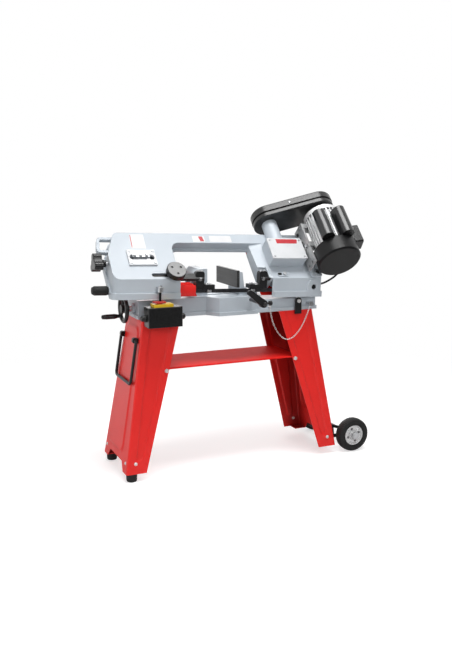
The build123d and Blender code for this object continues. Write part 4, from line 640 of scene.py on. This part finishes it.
WALL_PLACE, WALL_LEAN, WALL_IN = np.array([-404.0, 24.0, -22.0]), math.radians(20.3), 5.0
wall_out = np.array([-math.cos(WALL_LEAN), math.sin(WALL_LEAN), 0.0])
cut_place, cut_beyond = bow_at([WALL_PLACE - WALL_IN * wall_out, WALL_PLACE])
covers = bmesh.new()
covers.from_mesh(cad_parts["band_covers"].data)
bmesh.ops.remove_doubles(covers, verts=covers.verts, dist=DOUBLES)
cut = bmesh.ops.bisect_plane(
    covers, geom=[*covers.verts, *covers.edges, *covers.faces], plane_co=cut_place,
    plane_no=cut_beyond - cut_place, clear_outer=True,
)
cut_edges = [part for part in cut["geom_cut"] if isinstance(part, bmesh.types.BMEdge)]
bmesh.ops.holes_fill(covers, edges=cut_edges)
cover_mesh = bpy.data.meshes.new("band_cover_sheets")
covers.to_mesh(cover_mesh)
covers.free()
cover_sheets = mounted("band_cover_sheets", cover_mesh, shelf_coat, "bow")
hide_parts("band_covers")

# Blade shield: a red strip bent under the blade and up in front of it, between the left pan and the guide.
# It is screwed to the end wall of the pan.
SHIELD_SECTION = np.array([
    (-74, 570), (-85, 570), (-87.2, 570.8), (-88.5, 573), (-88.5, 604.5), (-88.0, 606), (-87.0, 605),
    (-87.0, 574), (-86.2, 572.2), (-84.5, 571.5), (-74, 571.5),
])
SHIELD_X, SHIELD_DROP = np.array([-182.0, -130.0, -127.5, -127.0]), np.array([0, 0, 1.0, 3.0])
SHIELD_UPPER = 590


def shield_form():
    """Section of the bent strip carried along x, with its front upper corner eased at the free end."""
    drop = np.where(SHIELD_SECTION[:, 1] > SHIELD_UPPER, 1.0, 0.0)[None, :] * SHIELD_DROP[:, None]
    x = SHIELD_X[:, None] + 0 * drop
    y = SHIELD_SECTION[None, :, 0] + 0 * drop
    z = SHIELD_SECTION[None, :, 1] - drop
    rows, columns = x.shape
    faces = grid_faces(rows, columns, False, True).tolist()
    faces += [list(range(columns)), list(range((rows - 1) * columns, rows * columns))]
    return at(tilted(np.stack([x, y, z], -1))), faces


piece("blade_shield", [shield_form()], red_coat, "bow")

# Blade tension: a white enamelled plate screwed on the left pan, and the bright block that slides in it
# with the idler's shaft. Its screw is turned by a lobed black knob.
white_plate = finish("white_enamel", (0.70, 0.715, 0.73), (0.65, 0.665, 0.68), (0.25, 0.36), patch=20.0,
                     grain=500.0, bump=0.04)
dress(white_plate, "tension_plate", "gearbox_cover")
dress(bright_steel, "tension_block", "tension_screw")
dress(black_plastic, "tension_knob")

# Labels: bare white vinyl stuck on the top of the bow, and plain red bands on it and on the gearbox plate.
# A dark plate over the slot of the deck paints the shade inside it.
CORNER_STEPS = 7


def plate_form(corners, low, high, corner=2.0):
    """Thin plate on the bow: a rectangle with rounded corners, mapped on four (x, y) corners as
    (1-u)(1-v) a + u (1-v) b + u v c + (1-u) v d, between two heights."""
    a, b, c, d = np.asarray(corners, float)
    width, length = np.linalg.norm(b - a), np.linalg.norm(d - a)
    turn = np.linspace(0, math.pi / 2, CORNER_STEPS)
    us, vs = [], []
    for index, (cu, cv) in enumerate(((1, 1), (0, 1), (0, 0), (1, 0))):
        angle = turn + index * math.pi / 2
        us.append(abs(cu - corner / width) + corner / width * np.cos(angle))
        vs.append(abs(cv - corner / length) + corner / length * np.sin(angle))
    u, v = np.concatenate(us)[:, None], np.concatenate(vs)[:, None]
    flat = (1 - u) * (1 - v) * a + u * (1 - v) * b + u * v * c + (1 - u) * v * d
    rings = np.stack([np.c_[flat, np.full(len(flat), height)] for height in (low, high)])
    count = len(flat)
    faces = grid_faces(2, count, False, True).tolist()
    faces += [list(range(count)), list(range(count, 2 * count))]
    return bow_at(rings), faces


vinyl_white = finish("white_vinyl", (0.73, 0.73, 0.73), (0.69, 0.69, 0.70), (0.30, 0.40), patch=30.0,
                     grain=600.0, bump=0.02)
vinyl_red = finish("red_vinyl", (0.55, 0.02, 0.03), (0.48, 0.016, 0.026), (0.30, 0.40), patch=30.0,
                   grain=600.0, bump=0.02)
BOW_TOP, GEARBOX_TOP, VINYL, VINYL_SEAT, BAND_CORNER = 49.0, 95.5, 0.25, 0.1, 1.0
WHITE_LABELS = [
    ((-322, 46), (-272, 46), (-271, 106), (-319, 106)),
    ((-101, 77), (-57, 77), (-56, 103), (-100, 103)),
    ((-40, 77.5), (41, 77.5), (42, 104.5), (-38, 104.5)),
]
RED_BANDS = [
    (((-320, 50), (-317.5, 50), (-315, 104), (-317.5, 104)), BOW_TOP + VINYL),
    (((-74, 80), (-60, 80), (-64, 101), (-78, 101)), BOW_TOP + VINYL),
    (((181, 34), (258, 34), (264, 53), (181, 53)), GEARBOX_TOP),
]
DECK_SLOT = (171, -69), (186, -69), (186, -59), (171, -59)
SLOT_SHADE_LOW, SLOT_SHADE_HIGH, SLOT_SHADE_CORNER = 51.8, 52.3, 4.9
label_forms = [plate_form(corners, BOW_TOP - VINYL_SEAT, BOW_TOP + VINYL) for corners in WHITE_LABELS]
piece("bare_labels", label_forms, vinyl_white, "bow")
band_forms = [plate_form(corners, top - VINYL_SEAT, top + VINYL, BAND_CORNER) for corners, top in RED_BANDS]
piece("label_bands", band_forms, vinyl_red, "bow")
# Painted shade: a thin black plate lies over the deck's slot.
slot_shade_plate = plate_form(DECK_SLOT, SLOT_SHADE_LOW, SLOT_SHADE_HIGH, SLOT_SHADE_CORNER)
piece("deck_slot_shade", [slot_shade_plate], black_plastic, "bow")

# Band wheels and blade: painted cast wheels inside the pans, and the dark spring steel band round them.
# The blade's teeth are milled along its lower edge.
blade_steel = finish("blade_steel", (0.11, 0.11, 0.115), (0.07, 0.07, 0.075), (0.25, 0.4), grain=260.0,
                     bump=0.05, metal=0.9)
dress(cast_paint, "idler_wheel", "drive_wheel")
dress(blade_steel, "blade")
BLADE_REACH, BLADE_HALF, BLADE_SET, BLADE_EDGE = 92.0, 0.3, 0.2, 6.0
BLADE_Y, BLADE_Z = BOW_AXIS[1:] - BLADE_REACH / math.sqrt(2.0)
TOOTH_PITCH, TOOTH_DEPTH, GULLET, TOOTH_SEAT, TOOTH_STEPS = 3.0, 1.3, 0.2, 0.35, [0.0, 2.4, 2.9]
TEETH_START, TEETH_END = -62.0, 70.0


def tooth_form(start, end):
    """Row of saw teeth under the straight of the blade: the lower edge falls along each pitch and then
    rises at once, and the strip has the blade's thickness."""
    count = int((end - start) / TOOTH_PITCH)
    x = start + np.repeat(np.arange(count), 3) * TOOTH_PITCH + np.tile(TOOTH_STEPS, count)
    top = 0 * x
    tip = -TOOTH_SEAT - np.tile([GULLET, TOOTH_DEPTH, GULLET], count)
    rows = [(-BLADE_HALF, top), (-BLADE_HALF, tip), (BLADE_HALF, tip), (BLADE_HALF, top)]
    y, z = BLADE_Y - BLADE_SET, BLADE_Z - BLADE_EDGE
    points = np.stack([np.stack([x, y + side + 0 * x, z + height], -1) for side, height in rows])
    return at(tilted(points)), grid_faces(4, len(x), True, False)


piece("blade_teeth", [tooth_form(TEETH_START, TEETH_END)], blade_steel, "bow", sharp=20.0)

# Blade guides: black bars and posts with bright rollers and bolts. The right one is fixed to the bow, and
# the left one slides. Its clamp knob is turned metal, black, with a painted grey sheen on its face inside the
# black rim.
dress(black_paint, "left_guide", "right_guide")
dress(bright_steel, "left_front_roller", "left_rear_roller", "right_front_roller", "right_rear_roller")
HEX_PROFILE = [(0, 5.0), (5.4, 5.0), (6.4, 4.2), (6.4, 0.9), (6.4, -0.5)]
WASHER_PROFILE = [(0, 1.0), (7.6, 1.0), (8.0, 0.6), (8.0, -0.5)]
UP, FORWARD, WASHER_STEPS = (0, 0, 1), (0, -1, 0), 24


def bolt_on(seat, axis, size=1.0):
    """Hexagon head on a round washer, standing on a seat of the level machine."""
    return [
        turned_form(np.array(HEX_PROFILE) * size, seat, axis, HEXAGON),
        turned_form(np.array(WASHER_PROFILE) * size, seat, axis, WASHER_STEPS),
    ]


# Each bolt: place along the blade, reach inward, places across and up from the blade, axis and size
GUIDE_BOLTS = [
    (-5.5, 0, -3, 65, UP, 0.8), (7.0, 0, -3, 65, UP, 0.8), (0, 24, -8, 22, UP, 0.85),
    (0, 36, 8, 22, UP, 0.85), (0, 0, -14, 40, FORWARD, 0.8),
]
for guide_body, guide_x, inward in (("guide_slide", -110.0, 1), ("bow", 119.0, -1)):
    guide_bolts = []
    for step, reach, y, z, axis, size in GUIDE_BOLTS:
        guide_bolts += bolt_on((guide_x + step + inward * reach, BLADE_Y + y, BLADE_Z + z), axis, size)
    bolt_forms = [(at(tilted(points)), faces) for points, faces in guide_bolts]
    piece(guide_body + "_guide_bolts", bolt_forms, bright_steel, guide_body)


def measured(material, coordinate, axis):
    """Object place or normal of a finish, measured along an axis: their dot product."""
    tree = material.node_tree
    return combined(tree, "VectorMath", "DOT_PRODUCT", node(tree, "TexCoord").outputs[coordinate], axis)


KNOB_BLACK, KNOB_FACE_SHEEN = (0.010, 0.010, 0.0105), (0.24, 0.24, 0.24)
bow_up = bow_at([(0, 0, 1)]) - bow_at([(0, 0, 0)])
bow_up = (bow_up[0] / np.linalg.norm(bow_up)).tolist()
knob_finish = finish("turned_knob", KNOB_BLACK, KNOB_BLACK, (0.30, 0.42), bump=0.1, specular=0.45)
# Painted sheen: the face that looks up out of the bow is grey, as a reflection of the light above; the rim
# stays black.
second_tone(knob_finish, measured(knob_finish, "Normal", bow_up), start=0.90, end=0.97, tone=KNOB_FACE_SHEEN)
dress(knob_finish, "guide_knob")

# Lift grip: a black rubber grip for the hand that raises the bow.
# It is pushed on a bar in the bow's left wall.
dress(rubber, "lift_grip")

# Worm drive: bright turned shafts in the gearbox, and the plated bolts of the bow.
# One of these, in its eye on the skirt, trips the switch with a dark rod below the eye.
dress(bright_steel, "drive_shaft", "worm_shaft")
bolt_steel = finish("bolts_and_trip_steel", (0.60, 0.61, 0.62), (0.48, 0.49, 0.51), (0.26, 0.42), patch=30.0,
                    grain=300.0, bump=0.05, metal=1.0)
TRIP_WAY, TRIP_EYE, TRIP_SOFT, TRIP_DARK = (0.1, 0.0, 1.0), 0.5835, 0.0005, (0.03, 0.03, 0.032)
trip_height = measured(bolt_steel, "Object", TRIP_WAY)
second_tone(bolt_steel, trip_height, TRIP_EYE + TRIP_SOFT, TRIP_EYE - TRIP_SOFT, TRIP_DARK)
dress(bolt_steel, "bow_bolts")

# Pulleys, belt and guard: cast step pulleys under a black moulded guard in two shells.
# A matt black strip in the seam paints the shade of the gap between the shells, and bright screws hold the
# cover.
cast_aluminium = finish("cast_aluminium", (0.80, 0.805, 0.81), (0.70, 0.705, 0.71), (0.40, 0.56), patch=30.0,
                        grain=700.0, bump=0.12, metal=0.55)
dress(cast_aluminium, "worm_pulley", "motor_pulley")
dress(rubber, "drive_belt")
guard_black = moulded_black("glossy_guard_black", (0.22, 0.32), 0.62)
dress(guard_black, "guard_base", "guard_cover")
WORM_CENTRE, MOTOR_CENTRE = np.array([200.5, 62.0]), np.array([367.0, 137.6])
GUARD_SEAM, GUARD_RADIUS, HALF_TURN_STEPS = 168.0, 55.0, 36
SEAM_SHADE_WIDTH, SEAM_SHADE_RISE, SEAM_SHADE_SEAT, SHOULDER_SHARE = 5.5, 0.8, -1.0, 0.7


def obround_form(radius, start, end, thick):
    """Band round both shafts: a line that turns at a radius about each centre and runs straight between,
    with a low crowned section between two places along the shafts."""
    lean = math.atan2(*(MOTOR_CENTRE - WORM_CENTRE)[::-1])
    half_turn = np.linspace(-math.pi / 2, math.pi / 2, HALF_TURN_STEPS)
    angle = np.r_[half_turn + lean, half_turn + lean + math.pi]
    centre = np.repeat([MOTOR_CENTRE, WORM_CENTRE], HALF_TURN_STEPS, axis=0)
    out = np.stack([np.cos(angle), np.sin(angle)], -1)
    middle, shoulder = (start + end) / 2, thick * SHOULDER_SHARE
    section = [
        (SEAM_SHADE_SEAT, start), (shoulder, start), (thick, middle), (shoulder, end), (SEAM_SHADE_SEAT, end),
    ]
    rows = []
    for lift, y in section:
        flat = centre + (radius + lift) * out
        rows.append(np.stack([flat[:, 0], np.full(len(flat), y), flat[:, 1]], -1))
    return bow_at(np.stack(rows)), grid_faces(len(section), len(angle), True, True)


# Painted shade: a matt black strip along the seam stands for the dark gap between the two shells.
seam_shade_black = finish("seam_shade_black", (0.004, 0.004, 0.004), (0.006, 0.006, 0.006), (0.7, 0.85), bump=0.1,
                    specular=0.06)
seam_shade_strip = obround_form(GUARD_RADIUS, GUARD_SEAM - SEAM_SHADE_WIDTH, GUARD_SEAM, SEAM_SHADE_RISE)
piece("guard_seam_shade", [seam_shade_strip], seam_shade_black, "bow")
SCREW_PROFILE = [(0, 2.6), (2.4, 2.4), (4.0, 1.6), (4.6, 0.3), (4.6, -1.0)]
SCREW_SHARE, SCREW_OUT, SCREW_Y, SCREW_STEPS = 0.47, 56.5, 178.0, 20
shaft_gap = MOTOR_CENTRE - WORM_CENTRE
guard_run = shaft_gap / np.linalg.norm(shaft_gap)
screw_forms = []
for side in (-1, 1):
    out = side * np.array([-guard_run[1], guard_run[0]])
    foot = WORM_CENTRE + SCREW_SHARE * shaft_gap + SCREW_OUT * out
    points, faces = turned_form(SCREW_PROFILE, (foot[0], SCREW_Y, foot[1]), (out[0], 0, out[1]), SCREW_STEPS)
    screw_forms.append((bow_at(points), faces))
piece("guard_screws", screw_forms, bright_steel, "bow")

# Motor: a finned cast aluminium body with a satin black fan cowl and three glossy black covers.
# It is bolted to a plated sheet on the bow.
finned_aluminium = finish("finned_aluminium", (0.86, 0.865, 0.87), (0.78, 0.785, 0.79), (0.36, 0.5),
                          patch=30.0, grain=700.0, bump=0.12, metal=0.45)
# Painted shade: the gaps between the fins, and where other parts come close, go dark.
paint_recess_shade(finned_aluminium, (0.24, 0.24, 0.245), reach=0.012, deep=0.15, clear=0.70, own=False)
dress(finned_aluminium, "motor_body")
dress(moulded_black("satin_cowl_black", (0.30, 0.42), 0.22), "fan_cowl")
dress(guard_black, "motor_covers")
plate_steel = finish("plated_sheet", (0.44, 0.445, 0.45), (0.34, 0.345, 0.35), (0.38, 0.52), patch=18.0,
                     grain=300.0, bump=0.08, metal=0.6, edge_highlight=(0.66, 0.66, 0.67))
dress(plate_steel, "motor_plate")
PLATE_SEATS, PLATE_BOLT = ((285, 62, 86), (285, 84, 82), (285, 40, 88)), 0.85
dark_bolts = []
for seat in PLATE_SEATS:
    dark_bolts += bolt_on(seat, (-1, 0, 0), PLATE_BOLT)
bolt_forms = [(bow_at(points), faces) for points, faces in dark_bolts]
piece("motor_plate_bolts", bolt_forms, black_paint, "bow")

# Motor cable: a black flex from the terminal box to the pivot, and on into the bed.
# Its two lengths meet on the pivot line, so the bow can lift.
cable_rubber = finish("cable_sheath", (0.012, 0.012, 0.0125), (0.018, 0.018, 0.019), (0.4, 0.55), bump=0.08)
CABLE_RADIUS = 0.0035
motor_route = np.concatenate([
    bow_at([(450.24, 10, 130.76), (454.44, 10, 111.16), (453.5, 2, 90), (447, -17, 67), (437.5, -36, 45)]),
    at(tilted([(422, -45, 628), (397, -45, 613), (371, -43, 601), (343, -39, 597.5), (318, -30, 597)])),
    at([(306, -8, 597), (306, 14, 597)]),
])
bed_route = at([
    (306, 14, 597), (306, 28, 597), (305.5, 42, 588), (304, 49.5, 571), (300, 51, 545), (300, 51, 518.3),
])
CABLES = ("motor_cable", "bow", motor_route), ("bed_cable", "base", bed_route)
for cable_name, cable_body, cable_points in CABLES:
    flex = smooth_line(cable_name + "_flex", cable_points)
    flex_path = line_points(flex)
    flex.data.bevel_depth = CABLE_RADIUS
    flex.data.bevel_resolution = 4
    flex.data.use_fill_caps = True
    flex.data.materials.append(cable_rubber)
    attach(flex, cable_body)
    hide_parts(cable_name)

# Floor: a plain pale floor that shows the machine's shadow.
# It fades into the white surround away from the machine.
FLOOR, FLOOR_GREY, FLOOR_GLOW, FLOOR_GLOSS, FADE_START, FADE_END = 3.2, 0.72, 0.55, 0.1, 0.8, 2.0
floor_corners = [(-FLOOR, -FLOOR, 0), (FLOOR, -FLOOR, 0), (FLOOR, FLOOR, 0), (-FLOOR, FLOOR, 0)]
floor_mesh = bpy.data.meshes.new("pale_floor")
floor_mesh.from_pydata(floor_corners, [], [(0, 1, 2, 3)])
floor = bpy.data.objects.new("pale_floor", floor_mesh)
bpy.context.scene.collection.objects.link(floor)
floor_paint = bpy.data.materials.new("pale_floor_paint")
floor_paint.use_nodes = True
floor_tree = floor_paint.node_tree


def seen_ray(tree, gloss):
    """1 for rays from the camera and through glass, which show the surround as white, and for a ray from a
    gloss the share that a number or socket gives."""
    path = node(tree, "LightPath").outputs
    shared = combined(tree, "Math", "MULTIPLY", path["Is Glossy Ray"], gloss)
    first = combined(tree, "Math", "MAXIMUM", path["Is Camera Ray"], shared)
    return combined(tree, "Math", "MAXIMUM", first, path["Is Transmission Ray"])


floor_shader = floor_tree.nodes["Principled BSDF"]
floor_glow = combined(floor_tree, "Math", "MULTIPLY", seen_ray(floor_tree, FLOOR_GLOSS), FLOOR_GLOW)
floor_values = {
    "Base Color": (FLOOR_GREY, FLOOR_GREY, FLOOR_GREY, 1), "Roughness": 0.9, "Specular IOR Level": 0.0,
    "Emission Color": (1, 1, 1, 1), "Emission Strength": floor_glow,
}
for socket_name, value in floor_values.items():
    feed(floor_tree, floor_shader.inputs[socket_name], value)
floor_place = node(floor_tree, "TexCoord").outputs["Object"]
floor_away = combined(floor_tree, "VectorMath", "DISTANCE", floor_place, (0, 0, 0))
floor_fade = spread(floor_tree, floor_away, FADE_START, FADE_END, shape="SMOOTHSTEP")
floor_mix = node(floor_tree, "MixShader", Fac=floor_fade)
floor_tree.links.new(floor_shader.outputs["BSDF"], floor_mix.inputs[1])
floor_tree.links.new(node(floor_tree, "BsdfTransparent").outputs["BSDF"], floor_mix.inputs[2])
floor_tree.links.new(floor_mix.outputs["Shader"], floor_tree.nodes["Material Output"].inputs["Surface"])
floor_mesh.materials.append(floor_paint)

# Surround and lights: a white surround that lights plainly and is dimmer in reflections on the camera's side,
# and four flat soft lights, above, left, in front and behind.
SURROUND_LIGHT, FRONT_GLOSS, FRONT_END, BACK_START = 0.34, 0.12, -0.75, 0.15
world = bpy.data.worlds.new("white_surround")
bpy.context.scene.world = world
world.use_nodes = True
sky_tree = world.node_tree
sky = sky_tree.nodes["Background"]
sky.inputs["Color"].default_value = (1, 1, 1, 1)
sky_way = node(sky_tree, "SeparateXYZ", Vector=node(sky_tree, "TexCoord").outputs["Generated"]).outputs["Y"]
sky_gloss = spread(sky_tree, sky_way, FRONT_END, BACK_START, low=FRONT_GLOSS, shape="SMOOTHSTEP")
glossy_ray = node(sky_tree, "LightPath").outputs["Is Glossy Ray"]
sky_matt = spread(sky_tree, glossy_ray, 0.0, 1.0, low=SURROUND_LIGHT, high=0.0)
sky_seen = seen_ray(sky_tree, sky_gloss)
feed(sky_tree, sky.inputs["Strength"], combined(sky_tree, "Math", "MAXIMUM", sky_matt, sky_seen))


def soft_light(name, place, target, width, depth, power):
    """Flat soft light of a width and depth, aimed from a place at a target."""
    lamp = bpy.data.lights.new(name, "AREA")
    lamp.shape = "RECTANGLE"
    lamp.size = width
    lamp.size_y = depth
    lamp.energy = power
    thing = bpy.data.objects.new(name, lamp)
    thing.location = place
    thing.rotation_mode = "QUATERNION"
    thing.rotation_quaternion = (Vector(target) - Vector(place)).to_track_quat("-Z", "Y")
    bpy.context.scene.collection.objects.link(thing)


soft_light("overhead_light", (0.05, -0.48, 2.6), (0.1, 0, 0.6), width=1.5, depth=0.75, power=36.0)
soft_light("left_light", (-2.6, -1.0, 1.3), (0, 0, 0.4), width=1.6, depth=1.6, power=16.0)
soft_light("front_light", (-0.1, -2.9, 1.7), (0, 0, 0.35), width=1.4, depth=1.0, power=15.0)
soft_light("back_light", (0.9, 2.6, 2.0), (0.1, 0, 0.7), width=2.0, depth=2.0, power=25.0)

# Camera: the photograph's own place and lens, for an image 452 wide and 670 high.
# It stands in front on the left, a little above the bow, and looks slightly down.
IMAGE_HEIGHT, FOCAL_PIXELS, SENSOR = 670.0, 826.64, 36.0
CAMERA_PLACE = (-1101.65, -2572.73, 980.77)
CAMERA_TURN, CAMERA_RISE = math.radians(-23.53), math.radians(11.05)
camera_data = bpy.data.cameras.new("photo_camera")
camera_data.sensor_width = SENSOR
camera_data.lens = FOCAL_PIXELS / IMAGE_HEIGHT * SENSOR
camera_data.clip_end = 100.0
camera = bpy.data.objects.new("photo_camera", camera_data)
level = math.cos(CAMERA_RISE)
camera_back = Vector((math.sin(CAMERA_TURN) * level, -math.cos(CAMERA_TURN) * level, math.sin(CAMERA_RISE)))
camera.location = at(CAMERA_PLACE)
camera.rotation_mode = "QUATERNION"
camera.rotation_quaternion = (-camera_back).to_track_quat("-Z", "Y")
bpy.context.scene.collection.objects.link(camera)
bpy.context.scene.camera = camera
bpy.context.scene.view_settings.view_transform = "Standard"
